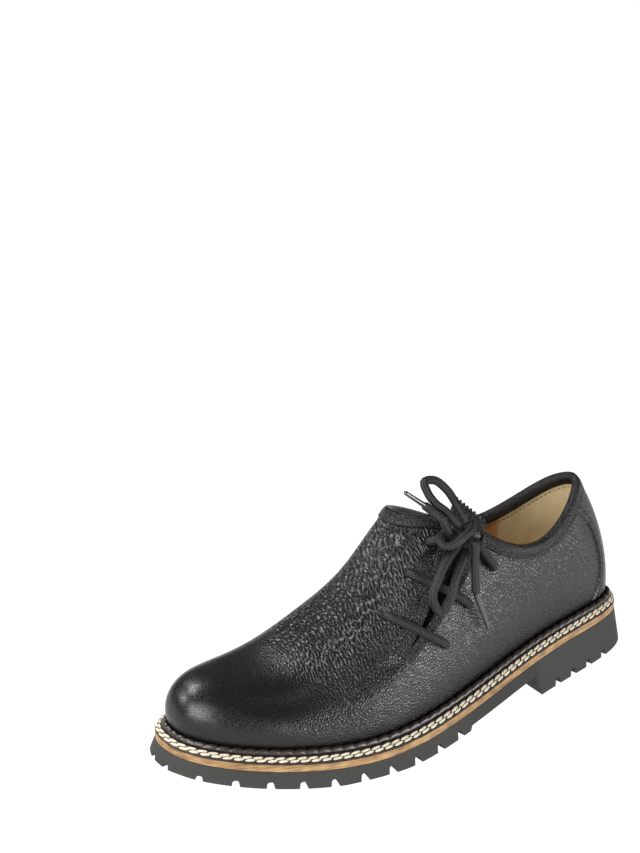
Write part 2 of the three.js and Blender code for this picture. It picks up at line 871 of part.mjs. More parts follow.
function makeBand() {
  const path = bandPath();
  const outerRows = [];
  const innerRows = [];
  path.forEach((point, i) => {
    const before = path[Math.max(i - 1, 0)];
    const after = path[Math.min(i + 1, path.length - 1)];
    const run = after.clone().sub(before).normalize();
    const { normal } = onSkin(point);
    const down = normal.clone().cross(run).normalize();
    if (down.z > 0) {
      down.negate();
    }
    const middle = onSkin(point.clone().addScaledVector(down, bandWidth / 2));
    const low = onSkin(point.clone().addScaledVector(down, bandWidth));
    const chain = (grow) => [
      low.point.clone().addScaledVector(low.normal, grow),
      middle.point.clone().addScaledVector(middle.normal, grow),
      point.clone().addScaledVector(normal, grow).addScaledVector(down, grow * bandShoulder),
      point.clone().addScaledVector(down, -grow).addScaledVector(normal, -wall * bandRim),
      point.clone().addScaledVector(down, -grow).addScaledVector(normal, -wall * (1 - bandRim)),
      point.clone().addScaledVector(normal, -innerFace - grow).addScaledVector(down, grow * bandShoulder),
      low.point.clone().addScaledVector(low.normal, -innerFace - grow),
    ];
    outerRows.push(chain(bandGap + bandThickness));
    innerRows.push(chain(bandGap));
  });
  return fromSolid(largestBody(toSolid(sheet(outerRows, innerRows)).subtract(upperShell(gap, 0))));
}

// Strap over the back seam
function makeStrap() {
  const steps = 12;
  const rows = 10;
  const front = [];
  const back = [];
  const lowest = beadHeight + 2 * gap;
  for (let k = 0; k < rows; k += 1) {
    const part = k / (rows - 1);
    const edge = strapEdge(part);
    const frontRow = [];
    const backRow = [];
    for (let i = 0; i <= steps; i += 1) {
      const sweep = (i / steps) * 2 - 1;
      const side = sweep < 0 ? outerSide : innerSide;
      const u = 1 - (1 - edge) * Math.abs(sweep);
      const top = collarT(side, u);
      const ring = rib(side, u, top);
      const ground = rib(side, u, 0).z;
      const z = THREE.MathUtils.lerp(ground + lowest, ring.z - bandWidth - 2 * bandGap, part);
      const { point, normal } = ribAtHeight(side, u, z);
      frontRow.push(point.clone().addScaledVector(normal, gap + strapThickness));
      backRow.push(point.clone().addScaledVector(normal, gap));
    }
    front.push(frontRow);
    back.push(backRow);
  }
  return sheet(front, back);
}

function ribAtHeight(side, u, z) {
  let low = 0;
  let high = 1;
  for (let i = 0; i < 40; i += 1) {
    const middle = (low + high) / 2;
    if (rib(side, u, middle).z < z) {
      low = middle;
    } else {
      high = middle;
    }
  }
  const t = (low + high) / 2;
  const normal = ribNormal(side, Math.min(u, 0.996), t);
  if (u === 1) {
    normal.y = 0;
    normal.normalize();
  }
  return { point: rib(side, u, t), normal };
}

// The tongue's middle line at its upper end, and where it leaves the skin
const tongueTop = { x: -0.245, z: 0.91 };
const tongueFree = 0.88;

// The tongue follows the skin up to the collar and leans straight on above it
function onTongue(flat) {
  const skinTop = tongueFree * throatHeight;
  const over = Math.max(flat.y - skinTop, 0);
  const { point, normal } = onOuterSide(flat.x, flat.y - over);
  point.add(new THREE.Vector3(0, -tongueLean * over, over));
  return { point, normal };
}

// Tongue under the slit, its top edge cut in scallops
function makeTongue() {
  const steps = 12;
  const columns = scallops * 2;
  const slitEnd = new THREE.Vector2(slitRows[0].x * halfLength, slitRows[0].z * throatHeight);
  const slitTop = new THREE.Vector2(tongueTop.x * halfLength, tongueTop.z * throatHeight);
  const run = slitTop.clone().sub(slitEnd).normalize();
  const tip = slitEnd.clone().addScaledVector(run, -tongueTipReach);
  const length = slitTop.distanceTo(tip) + tongueStandOut;
  const sideways = new THREE.Vector2(-run.y, run.x);
  const depth = innerFace + bandGap + bandThickness + gap;
  const front = [];
  const back = [];
  for (let i = 0; i <= steps; i += 1) {
    const frontRow = [];
    const backRow = [];
    for (let k = 0; k <= columns; k += 1) {
      const part = i / steps;
      const cross = (k / columns) * 2 - 1;
      const notch = k % 2 === 0 ? scallopDepth : 0;
      const reach = part * length - (i === steps ? notch : 0);
      const narrow = THREE.MathUtils.lerp(tongueTipShare, 1, Math.min(part * 2, 1));
      const flat = tip.clone().addScaledVector(run, reach);
      flat.addScaledVector(sideways, cross * tongueHalfWidth * narrow);
      const { point, normal } = onTongue(flat);
      frontRow.push(point.clone().addScaledVector(normal, -depth));
      backRow.push(point.clone().addScaledVector(normal, -depth - tongueThickness));
    }
    front.push(frontRow);
    back.push(backRow);
  }
  return sheet(front, back);
}

// Laces
function tube(points, diameter, stepLength, sides = 8) {
  const curve = new THREE.CatmullRomCurve3(points, false, 'centripetal');
  const corners = [];
  for (let i = 0; i < sides; i += 1) {
    const angle = (i / sides) * Math.PI * 2;
    corners.push(new THREE.Vector2(Math.cos(angle), Math.sin(angle)).multiplyScalar(diameter / 2));
  }
  const steps = Math.max(2, Math.round(curve.getLength() / stepLength));
  const options = { extrudePath: curve, steps, bevelEnabled: false };
  const cord = new THREE.ExtrudeGeometry(new THREE.Shape(corners), options);
  return outward(mergeVertices(stripped(cord), 1e-4));
}

const laceStep = 3.2;
const laceRise = laceDiameter / 2 + 1;

// Shares of half the sole's length, of the ball width and of the throat's height
const fromShares = ({ x, y, z }) => new THREE.Vector3(x * halfLength, y * ballWidth, z * throatHeight);

function above({ point, normal }, height) {
  return point.clone().addScaledVector(normal, height);
}

const holeStart = 0.4;
const holeExit = 0.2;

// First points of a lace that leaves a hole toward another place
function outOfHole(hole, toward, rise) {
  const seat = holePlace(hole);
  const goal = toward.clone().sub(seat.point);
  goal.addScaledVector(seat.normal, -goal.dot(seat.normal)).normalize();
  const bend = onSkin(seat.point.clone().addScaledVector(goal, laceHole / 2));
  return [above(seat, -wall * holeStart), above(seat, laceHole * holeExit), above(bend, rise)];
}

// Bar from hole to hole across the slit
function makeBar(from, to) {
  const start = holePlace(from).point;
  const end = holePlace(to).point;
  const middle = onSkin(start.clone().lerp(end, 0.5));
  return tube([
    ...outOfHole(from, end, laceRise),
    above(middle, laceRise),
    ...outOfHole(to, start, laceRise).reverse(),
  ], laceDiameter, laceStep);
}

const knot = fromShares({ x: -0.167, y: 0.261, z: 0.922 });

// Two points off the knot in a direction, so that a lace meets it squarely
function leaveKnot({ x, y, z }) {
  const direction = new THREE.Vector3(x, y, z).normalize();
  const start = knotRadius + 1.5 * gap;
  return [start, start + laceDiameter / 2].map((far) => knot.clone().addScaledVector(direction, far));
}

const reachKnot = (direction) => leaveKnot(direction).reverse();

function makeTopLace(hole, rows, meeting) {
  const start = outOfHole(hole, knot, laceRise + 2 * gap);
  return tube([...start, ...rows.map(fromShares), ...meeting], laceDiameter, laceStep);
}

function makeKnot() {
  const ball = new THREE.SphereGeometry(knotRadius, 14, 10);
  ball.translate(knot.x, knot.y, knot.z);
  return outward(mergeVertices(stripped(ball), 1e-4));
}

// Directions in which the laces meet the knot
const atKnot = {
  lowLoopOut: { x: 0.75, y: 0.3, z: -0.6 },
  lowLoopBack: { x: 0.05, y: 0.3, z: -0.95 },
  highLoopOut: { x: -0.15, y: -0.3, z: 0.94 },
  highLoopBack: { x: 0.55, y: 0, z: 0.83 },
  lowEnd: { x: -0.15, y: 0.9, z: -0.4 },
  highEnd: { x: 0.96, y: 0.1, z: 0.15 },
  topFront: { x: 0.8, y: -0.6, z: 0 },
  topBack: { x: -0.55, y: -0.45, z: -0.7 },
};

// Routes of the laces, chosen by hand, as shares
const topBackRoute = [
  { x: -0.243, y: 0.287, z: 0.806 },
  { x: -0.224, y: 0.273, z: 0.851 },
];
const lowLoopRoute = [
  { x: -0.065, y: 0.331, z: 0.864 },
  { x: -0.003, y: 0.375, z: 0.816 },
  { x: 0.039, y: 0.398, z: 0.731 },
  { x: 0.011, y: 0.412, z: 0.648 },
  { x: -0.029, y: 0.412, z: 0.696 },
  { x: -0.069, y: 0.384, z: 0.781 },
  { x: -0.12, y: 0.343, z: 0.836 },
];
const highLoopRoute = [
  { x: -0.179, y: 0.156, z: 1.039 },
  { x: -0.164, y: 0.119, z: 1.086 },
  { x: -0.125, y: 0.091, z: 1.136 },
  { x: -0.079, y: 0.091, z: 1.144 },
  { x: -0.071, y: 0.137, z: 1.109 },
  { x: -0.081, y: 0.183, z: 1.071 },
  { x: -0.106, y: 0.224, z: 1.037 },
];
const lowEndRoute = [
  { x: -0.169, y: 0.352, z: 0.822 },
  { x: -0.161, y: 0.373, z: 0.742 },
  { x: -0.159, y: 0.38, z: 0.665 },
];
const highEndRoute = [
  { x: -0.071, y: 0.252, z: 1.025 },
  { x: -0.052, y: 0.201, z: 1.053 },
  { x: -0.027, y: 0.183, z: 1.085 },
];
const lowAgletTip = { x: -0.211, y: 0.393, z: 0.474 };
const highAgletTip = { x: 0.045, y: 0.165, z: 1.164 };

function makeLoop(out, route, back) {
  const line = [...leaveKnot(out), ...route.map(fromShares), ...reachKnot(back)];
  return tube(line, laceDiameter, laceStep);
}

function makeFreeEnd(out, route) {
  return tube([...leaveKnot(out), ...route.map(fromShares)], laceDiameter, laceStep);
}

function makeAglet(route, tip) {
  const from = fromShares(route[route.length - 1]);
  const to = fromShares(tip);
  const run = to.clone().sub(from).normalize();
  const start = from.clone().addScaledVector(run, agletGap);
  return tube([start, to], agletDiameter, from.distanceTo(to) / 2);
}

// Assembly
const shoe = new THREE.Group();

function add(name, geometry, look) {
  const mesh = new THREE.Mesh(geometry, new THREE.MeshStandardMaterial(look));
  mesh.name = name;
  mesh.geometry.computeVertexNormals();
  shoe.add(mesh);
}

add('outsole', makeOutsole(), rubberGrey);
add('midsole', makeMidsole(), leatherBrown);
add('welt', makeWelt(), leatherBlack);
add('welt_bead', makeBead(), beadDark);
add('insole', makeInsole(), sockBeige);
add('upper', makeUpper(), leatherBlack);
add('collar_band', makeBand(), leatherBlack);
add('heel_strap', makeStrap(), leatherBlack);
add('tongue', makeTongue(), leatherBlack);
add('lace_bar_low', makeBar(laceHoles.lowFront, laceHoles.lowBack), laceBlack);
add('lace_bar_mid', makeBar(laceHoles.midFront, laceHoles.midBack), laceBlack);
const topFront = makeTopLace(laceHoles.topFront, [], reachKnot(atKnot.topFront));
add('lace_top_front', topFront, laceBlack);
const topBack = makeTopLace(laceHoles.topBack, topBackRoute, reachKnot(atKnot.topBack));
add('lace_top_back', topBack, laceBlack);
add('lace_knot', makeKnot(), laceBlack);
add('lace_loop_low', makeLoop(atKnot.lowLoopOut, lowLoopRoute, atKnot.lowLoopBack), laceBlack);
add('lace_loop_high', makeLoop(atKnot.highLoopOut, highLoopRoute, atKnot.highLoopBack), laceBlack);
add('lace_end_low', makeFreeEnd(atKnot.lowEnd, lowEndRoute), laceBlack);
add('lace_end_high', makeFreeEnd(atKnot.highEnd, highEndRoute), laceBlack);
add('aglet_low', makeAglet(lowEndRoute, lowAgletTip), clearBlack);
add('aglet_high', makeAglet(highEndRoute, highAgletTip), clearBlack);

// The outline's middle lies on the origin
const box = new THREE.Box3().setFromObject(shoe.getObjectByName('outsole'));
const middle = box.getCenter(new THREE.Vector3());
shoe.position.set(-middle.x, -middle.y, 0);

export default shoe;
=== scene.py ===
import math

import bpy
import bmesh
import numpy as np
from mathutils import Matrix
from mathutils.kdtree import KDTree


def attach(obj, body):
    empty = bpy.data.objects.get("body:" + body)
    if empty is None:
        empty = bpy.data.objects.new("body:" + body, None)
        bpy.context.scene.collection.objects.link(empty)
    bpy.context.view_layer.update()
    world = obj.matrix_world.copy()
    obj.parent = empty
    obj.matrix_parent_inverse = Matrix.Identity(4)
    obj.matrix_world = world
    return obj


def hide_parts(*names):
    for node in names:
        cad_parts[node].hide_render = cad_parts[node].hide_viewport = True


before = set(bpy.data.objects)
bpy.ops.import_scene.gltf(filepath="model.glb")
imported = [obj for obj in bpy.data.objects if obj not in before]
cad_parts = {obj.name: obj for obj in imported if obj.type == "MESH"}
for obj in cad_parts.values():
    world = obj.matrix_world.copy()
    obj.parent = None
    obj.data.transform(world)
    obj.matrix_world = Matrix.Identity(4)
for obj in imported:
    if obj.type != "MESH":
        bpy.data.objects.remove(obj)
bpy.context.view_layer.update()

# Haferl shoe, left foot. Sizes are in millimetres in the last's own frame, whose middle
# line lies 4.3 mm from the row frame's. Every piece is moved and scaled as it is made.
MM = 0.001
OFFSET = np.array([0, -4.3, 0])
UP = np.array([0, 0, 1.0])

# Driving sizes of the shoe
SOLE_LENGTH = 300
BALL_WIDTH = 109.3
HEEL_SEAT = 23.2
BALL_SEAT = 10.3
TOE_SPRING = 14.3
THROAT_HEIGHT = 121
COLLAR_BACK = 108
TOE_ROUNDNESS = 2.38
HEEL_ROUNDNESS = 2.34
HALF = SOLE_LENGTH / 2

MIDSOLE = 4
WELT = 3
WELT_EDGE = 0.8
WELT_SLOPE = 0.45
INSOLE = 4.5
RUBBER_DEPTH = 8.6
SHANK_RUBBER = 5.6
RUBBER_FLARE = 3.2
BREAST_BOTTOM = 72
BREAST_TOP = 69
FOREFOOT_END = 12
LUG_DEPTH = 3.9
LUG_LENGTH = 15
GROOVE_WIDTH = 4
NOTCH_WIDTH = 5.4
NOTCH_TOP = 3.4
FIRST_LUG = 6
LUG_PITCH = 19.3
LUG_PITCH_LOSS = 0.22
FRONT_LUGS = 11
HEEL_LUG_PITCH = 14.2
FIRST_HEEL_LUG = 18
HEEL_LUGS = 4

WALL = 2.2
MARGIN = 8.3
SIDE_BULGE = 2.5
THROAT_PLACE = 2
GAP = 0.3
LIFT = MIDSOLE / 2 + GAP + WELT + GAP

LACE = 4.8
LACE_HOLE = 6.8
HOLE_RADIUS = 2.75
KNOT_RADIUS = 6.5
KNOT_SIZE = 1.4
AGLET = 3.2
BEAD_PITCH = 7

# Tables, in shares of the sizes above. "at" runs from the heel, 0, to the toe, 1.
SOLE_ROWS = {
    "at": (0, 0.15, 0.37, 0.62, 0.8, 1),
    "outer": (0.311, 0.311, 0.421, 0.533, 0.503, 0.453),
    "inner": (0.311, 0.311, 0.302, 0.448, 0.467, 0.444),
}
SEAT_ROWS = {
    "at": (0, 0.27, 0.45, 0.65, 0.82, 1),
    "drop": (0, 0.04, 0.5, 1, 1, 1),
    "spring": (0, 0, 0, 0, 0.25, 1),
}
RIDGE_ROWS = {
    "at": (0, 0.15, 0.3, 0.42, 0.5, 0.58, 0.66, 0.74, 0.82, 0.91, 1),
    "high": (1.033, 1.05, 1.05, 1.041, 1, 0.769, 0.607, 0.512, 0.471, 0.492, 0.554),
}
SECTION_ROWS = {
    "at": (0, 0.12, 0.3, 0.5, 0.65, 0.8, 0.92, 1),
    "across": (2.4, 2.8, 3, 1.8, 2.4, 2.8, 3.3, 3.8),
    "upward": (2.6, 2.9, 2.7, 2.5, 2, 2, 2.8, 3.1),
    "lean": (0.25, 0.21, 0.1, 0.2, 0.05, 0, 0, 0),
}
MARGIN_ROWS = {"at": (0, 0.2, 0.5, 1), "inset": (0.76, 0.9, 1, 0.97)}
SHIFT_ROWS = {
    "at": (0, 0.15, 0.3, 0.5, 0.65, 0.8, 1),
    "shift": (0, -0.009, -0.06, -0.037, -0.041, -0.049, -0.038),
}
# Collar heights from the throat, 0, to the back, 1
COLLAR_ROWS = {
    "at": (0.12, 0.25, 0.4, 0.55, 0.7, 0.85),
    "outer": (0.942, 0.785, 0.711, 0.777, 0.851, 0.876),
    "inner": (0.86, 0.736, 0.756, 0.835, 0.876, 0.888),
}
# Side slit: shares of half the length and of the throat's height
SLIT_FRONT = ((0.159, 0.463), (0.069, 0.568), (-0.111, 0.849), (-0.2, 1.02))
SLIT_BACK = ((0.159, 0.463), (0.057, 0.55), (-0.187, 0.792), (-0.36, 1.02))
HOLES = {
    "low_front": (0.17, 0.626),
    "low_back": (-0.017, 0.467),
    "mid_front": (0.053, 0.781),
    "mid_back": (-0.147, 0.599),
    "top_front": (-0.053, 0.889),
    "top_back": (-0.287, 0.713),
}
# Knot and laces: shares of half the length, of the ball's width and of the throat's height
KNOT_PLACE = (-0.167, 0.261, 0.922)
AT_KNOT = {
    "low_loop_out": (0.75, 0.3, -0.6),
    "low_loop_back": (0.05, 0.3, -0.95),
    "high_loop_out": (-0.15, -0.3, 0.94),
    "high_loop_back": (0.55, 0, 0.83),
    "low_end": (-0.15, 0.9, -0.4),
    "high_end": (0.96, 0.1, 0.15),
    "top_front": (0.8, -0.6, 0),
    "top_back": (-0.55, -0.45, -0.7),
}
ROUTES = {
    "top_front": (),
    "top_back": ((-0.243, 0.287, 0.806), (-0.224, 0.273, 0.851)),
    "low_loop": (
        (-0.065, 0.331, 0.864), (-0.003, 0.375, 0.816), (0.039, 0.398, 0.731), (0.011, 0.412, 0.648),
        (-0.029, 0.412, 0.696), (-0.069, 0.384, 0.781), (-0.12, 0.343, 0.836),
    ),
    "high_loop": (
        (-0.179, 0.156, 1.039), (-0.164, 0.119, 1.086), (-0.125, 0.091, 1.136), (-0.079, 0.091, 1.144),
        (-0.071, 0.137, 1.109), (-0.081, 0.183, 1.071), (-0.106, 0.224, 1.037),
    ),
    "low_end": ((-0.169, 0.352, 0.822), (-0.161, 0.373, 0.742), (-0.159, 0.38, 0.665)),
    "high_end": ((-0.071, 0.252, 1.025), (-0.052, 0.201, 1.053), (-0.027, 0.183, 1.085)),
    "wrap": (
        (-0.073, 0.247, 0.946), (-0.05, 0.284, 0.931), (-0.06, 0.316, 0.915), (-0.094, 0.334, 0.924),
        (-0.136, 0.329, 0.945), (-0.179, 0.297, 0.952), (-0.205, 0.247, 0.954),
    ),
}
AGLET_TIPS = {"low": (-0.211, 0.393, 0.474), "high": (0.045, 0.165, 1.164)}
TONGUE_TOP = (-0.245, 0.91)
TONGUE_REACH = 8
TONGUE_STAND_OUT = 9
TONGUE_HALF_WIDTH = 10
TONGUE_TIP = 0.55
TONGUE_FREE = 0.88
STRAP_ROWS = {"at": (0, 0.15, 0.4, 0.75, 1), "edge": (0.83, 0.858, 0.872, 0.845, 0.8)}


def column(rows, name, at="at"):
    """Natural cubic spline through a column of a table."""
    x, y = np.array(rows[at], float), np.array(rows[name], float)
    n = len(x)
    step = np.diff(x)
    a, b = np.eye(n), np.zeros(n)
    for i in range(1, n - 1):
        a[i, i - 1 : i + 2] = step[i - 1], 2 * (step[i - 1] + step[i]), step[i]
        b[i] = 6 * ((y[i + 1] - y[i]) / step[i] - (y[i] - y[i - 1]) / step[i - 1])
    second = np.linalg.solve(a, b)

    def value(place):
        p = np.clip(np.asarray(place, float), x[0], x[-1])
        i = np.clip(np.searchsorted(x, p, side="right") - 1, 0, n - 2)
        h = step[i]
        low, high = (x[i + 1] - p) / h, (p - x[i]) / h
        bend = (low**3 - low) * second[i] + (high**3 - high) * second[i + 1]
        return low * y[i] + high * y[i + 1] + bend * h**2 / 6

    return value


outer_width, inner_width = column(SOLE_ROWS, "outer"), column(SOLE_ROWS, "inner")
seat_drop, seat_spring = column(SEAT_ROWS, "drop"), column(SEAT_ROWS, "spring")
ridge_high, margin_share = column(RIDGE_ROWS, "high"), column(MARGIN_ROWS, "inset")
across, upward = column(SECTION_ROWS, "across"), column(SECTION_ROWS, "upward")
lean, ridge_shift = column(SECTION_ROWS, "lean"), column(SHIFT_ROWS, "shift")
strap_edge = column(STRAP_ROWS, "edge")


def unit(v):
    return v / np.maximum(np.linalg.norm(v, axis=-1, keepdims=True), 1e-9)


def smooth(low, high, value):
    part = np.clip((value - low) / (high - low), 0, 1)
    return part * part * (3 - 2 * part)


def share(x):
    return 0.5 + x / SOLE_LENGTH


def seat(x):
    at = share(x)
    return HEEL_SEAT - (HEEL_SEAT - BALL_SEAT) * seat_drop(at) + TOE_SPRING * seat_spring(at)


def plain_outline(side, u):
    along = np.cos(np.pi * u)
    power = np.where(along > 0, TOE_ROUNDNESS, HEEL_ROUNDNESS)
    reach = np.maximum(1 - np.abs(along) ** power, 0) ** (1 / power)
    at = 0.5 + along / 2
    width = BALL_WIDTH * np.where(side > 0, outer_width(at), inner_width(at))
    return np.stack([along * HALF, side * width * reach], -1)


def outline(side, u, inset):
    """Sole's outline at station u, from toe 0 to heel 1, moved in by an inset."""
    u = np.asarray(u, float)
    side = side + 0 * u
    point = plain_outline(side, u)
    step = 1e-4
    run = plain_outline(side, np.minimum(u + step, 1)) - plain_outline(side, np.maximum(u - step, 0))
    run = unit(run)
    end = (u <= 0) | (u >= 1)
    inward = np.stack([-side * run[..., 1], side * run[..., 0]], -1)
    inward = np.where(end[..., None], np.stack([-np.sign(point[..., 0]), 0 * u], -1), inward)
    return point + inward * np.asarray(inset, float)[..., None]


def ridge_place(along):
    def ease(start, end, reach):
        part = np.clip((along - start) / (reach - start), 0, 1)
        power = (reach - start) / (end - start)
        return start + (end - start) * (1 - (1 - part) ** power)

    front, back = ease(40, 92, 0.951 * HALF), ease(-60, -95, -HALF)
    return np.where(along > 40, front, np.where(along < -60, back, along))


def rib(side, u, t):
    """Point of the last's surface: t rises from the feather edge, 0, to the ridge, 1."""
    side, u, t = np.broadcast_arrays(np.asarray(side, float), np.asarray(u, float), np.asarray(t, float))
    along = np.cos(np.pi * u) * HALF
    at = share(along)
    base = outline(side, u, MARGIN * margin_share(at))
    edge = outline(side, u, 0 * u)
    bottom = seat(base[..., 0]) + LIFT
    ridge_x = ridge_place(along)
    ridge_y = BALL_WIDTH * ridge_shift(share(ridge_x))
    angle = np.clip(t, 0, 1) * np.pi / 2
    rise = np.where(t >= 1, 1, np.sin(angle) ** (2 / upward(at)))
    spread = np.where(t >= 1, 0, np.cos(angle) ** (2 / across(at)) * (1 - lean(at) * rise))
    out = unit(edge - base) * (SIDE_BULGE * 6.75 * rise * (1 - rise) ** 2)[..., None]
    x = ridge_x + (base[..., 0] - ridge_x) * spread + out[..., 0]
    y = ridge_y + (base[..., 1] - ridge_y) * spread + out[..., 1]
    top = THROAT_HEIGHT * ridge_high(share(x))
    return np.stack([x, y, bottom + (top - bottom) * rise], -1)


def rib_normal(side, u, t):
    du, dt = 0.003, 0.006
    u, t = np.asarray(u, float), np.asarray(t, float)
    along = rib(side, np.minimum(u + du, 1), t) - rib(side, np.maximum(u - du, 0), t)
    up = rib(side, u, np.minimum(t + dt, 1)) - rib(side, u, np.maximum(t - dt, 0))
    return unit(np.cross(along, up) * np.broadcast_to(side, u.shape)[..., None])


def station(x):
    return math.acos(x / HALF) / math.pi


THROAT = station(THROAT_PLACE)
front_high = float(rib(1, THROAT, 1)[2]) / THROAT_HEIGHT
back_high = COLLAR_BACK / THROAT_HEIGHT
ALL_COLLAR = {
    "at": (0, *COLLAR_ROWS["at"], 1),
    "outer": (front_high, *COLLAR_ROWS["outer"], back_high),
    "inner": (front_high, *COLLAR_ROWS["inner"], back_high),
}
outer_collar, inner_collar = column(ALL_COLLAR, "outer"), column(ALL_COLLAR, "inner")


def t_at_height(side, u, z):
    low, high = np.zeros_like(z), np.ones_like(z)
    for _ in range(36):
        middle = (low + high) / 2
        under = rib(side, u, middle)[..., 2] < z
        low, high = np.where(under, middle, low), np.where(under, high, middle)
    return (low + high) / 2


def collar_t(side, u):
    u = np.asarray(u, float)
    side = side + 0 * u
    run = (u - THROAT) / (1 - THROAT)
    z = THROAT_HEIGHT * np.where(side > 0, outer_collar(run), inner_collar(run))
    return np.where(u <= THROAT, 1.0, t_at_height(side, u, z))


# Camera
def placed(right, up, back, place):
    """Matrix of an object that looks away from its back."""
    return Matrix([[*row, p] for row, p in zip(np.stack([right, up, back], 1), place)] + [[0, 0, 0, 1]])


def look():
    azimuth, elevation, roll = np.radians([147.664, 24.563, -0.965])
    back = np.array([math.sin(azimuth), -math.cos(azimuth), math.tan(elevation)]) * math.cos(elevation)
    level = unit(np.cross(UP, back))
    upright = np.cross(back, level)
    right = level * math.cos(roll) + upright * math.sin(roll)
    up = upright * math.cos(roll) - level * math.sin(roll)
    place = np.array([0, 0, 40.0]) + back * 1466.14 - right * 42.446 + up * 118.879
    data = bpy.data.cameras.new("camera")
    data.lens = 111.39
    data.sensor_width = 36
    data.clip_end = 20
    camera = bpy.data.objects.new("camera", data)
    bpy.context.scene.collection.objects.link(camera)
    camera.matrix_world = placed(right, up, back, (place + OFFSET) * MM)
    bpy.context.scene.camera = camera


look()


# Mesh helpers
def metres(points):
    return ((np.asarray(points) + OFFSET) * MM).tolist()


def shade(mesh, angle, attributes):
    """Smooth faces, sharp edges past an angle in degrees, and named values at the points."""
    for key, values in attributes.items():
        layer = mesh.attributes.new(key, "FLOAT", "POINT")
        layer.data.foreach_set("value", np.asarray(values, np.float32))
    mesh.polygons.foreach_set("use_smooth", np.ones(len(mesh.polygons), bool))
    mesh.set_sharp_from_angle(angle=math.radians(angle))
    mesh.update()


def make(name, points, faces, materials, inside=None, angle=45, body="root", attributes=None):
    """Object of points in millimetres. inside marks the faces that take the second material."""
    mesh = bpy.data.meshes.new(name)
    mesh.from_pydata(metres(points), [], [tuple(int(i) for i in face) for face in faces])
    for material in materials:
        mesh.materials.append(material)
    if inside is not None:
        mesh.polygons.foreach_set("material_index", np.asarray(inside, int))
    shade(mesh, angle, attributes or {})
    obj = bpy.data.objects.new(name, mesh)
    bpy.context.scene.collection.objects.link(obj)
    if body:
        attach(obj, body)
    return obj


def stand_for(piece, node_name):
    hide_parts(node_name)


def grid_faces(rows, columns, closed_rows=False, closed_columns=False):
    i = np.arange(rows if closed_rows else rows - 1)
    k = np.arange(columns if closed_columns else columns - 1)
    i, k = np.meshgrid(i, k, indexing="ij")
    this, following = i * columns, (i + 1) % rows * columns
    ahead = (k + 1) % columns
    return np.stack([this + k, this + ahead, following + ahead, following + k], -1).reshape(-1, 4)


def slab_faces(rows, columns):
    """Faces of a grid, of the same grid turned over below it, and of the sides between."""
    sheet = grid_faces(rows, columns)
    size = rows * columns
    sides = [[b, a, size + a, size + b] for a, b in boundary(sheet.tolist())]
    return sheet.tolist() + (sheet[:, ::-1] + size).tolist() + sides


def weld(points, faces, *values):
    """Points that coincide become one, and faces that lose a side go."""
    _, first, index = np.unique(np.round(points, 3), axis=0, return_index=True, return_inverse=True)
    index = index.reshape(-1)
    kept = []
    for face in index[np.asarray(faces)]:
        corners = list(dict.fromkeys(face.tolist()))
        if len(corners) > 2:
            kept.append(corners)
    return points[first], kept, *[value[first] for value in values]


def loft(rings, caps=True):
    """Closed solid through rings of points. Open ends are closed by fans."""
    count, size = rings.shape[:2]
    points = rings.reshape(-1, 3)
    faces = grid_faces(count, size, closed_columns=True)[:, ::-1].tolist()
    if caps:
        faces.append(list(range(size)))
        faces.append(list(range(count * size - 1, (count - 1) * size - 1, -1)))
    return points, faces


def loop(rings):
    """Closed loop of closed rings."""
    return rings.reshape(-1, 3), grid_faces(*rings.shape[:2], True, True).tolist()


def outward(obj):
    bm = bmesh.new()
    bm.from_mesh(obj.data)
    bmesh.ops.recalc_face_normals(bm, faces=bm.faces)
    bm.to_mesh(obj.data)
    bm.free()
    return obj


def vertex_normals(points, faces):
    total = np.zeros_like(points)
    for face in (np.array([f for f in faces if len(f) == n]) for n in (3, 4)):
        if len(face):
            a, b, c = points[face[:, 0]], points[face[:, 1]], points[face[:, -1]]
            cross = np.cross(b - a, c - a)
            if face.shape[1] == 4:
                cross = np.cross(points[face[:, 2]] - a, points[face[:, 3]] - b)
            for k in range(face.shape[1]):
                np.add.at(total, face[:, k], cross)
    return unit(total)


def boundary(faces):
    edges = {}
    for face in faces:
        for a, b in zip(face, face[1:] + face[:1]):
            if (b, a) in edges:
                del edges[(b, a)]
            else:
                edges[(a, b)] = True
    return list(edges)


def cut(obj, cutters):
    for cutter in cutters:
        modifier = obj.modifiers.new("cut", "BOOLEAN")
        modifier.operation = "DIFFERENCE"
        modifier.solver = "MANIFOLD"
        modifier.object = cutter
        bpy.context.view_layer.update()
        mesh = bpy.data.meshes.new_from_object(obj.evaluated_get(bpy.context.evaluated_depsgraph_get()))
        obj.modifiers.clear()
        old, obj.data = obj.data, mesh
        bpy.data.meshes.remove(old)
    for cutter in cutters:
        bpy.data.objects.remove(cutter)
    return obj


def curve_through(points, step, tension=0.5):
    """Even points on a smooth curve through the given ones."""
    p = np.asarray(points, float)
    p = np.vstack([2 * p[0] - p[1], p, 2 * p[-1] - p[-2]])
    knots = np.concatenate([[0], np.cumsum(np.linalg.norm(np.diff(p, axis=0), axis=1) ** tension)])
    fine = []
    for i in range(1, len(p) - 2):
        k = knots[i - 1 : i + 3]
        q = p[i - 1 : i + 3]
        for t in np.linspace(k[1], k[2], 24, endpoint=False):
            a = [((k[j + 1] - t) * q[j] + (t - k[j]) * q[j + 1]) / (k[j + 1] - k[j]) for j in range(3)]
            b = [((k[j + 2] - t) * a[j] + (t - k[j]) * a[j + 1]) / (k[j + 2] - k[j]) for j in range(2)]
            fine.append(((k[2] - t) * b[0] + (t - k[1]) * b[1]) / (k[2] - k[1]))
    return resample(np.vstack([fine, p[-2]]), step)


def walk(points):
    """Distance walked to each point of a line."""
    return np.concatenate([[0], np.cumsum(np.linalg.norm(np.diff(points, axis=0), axis=1))])


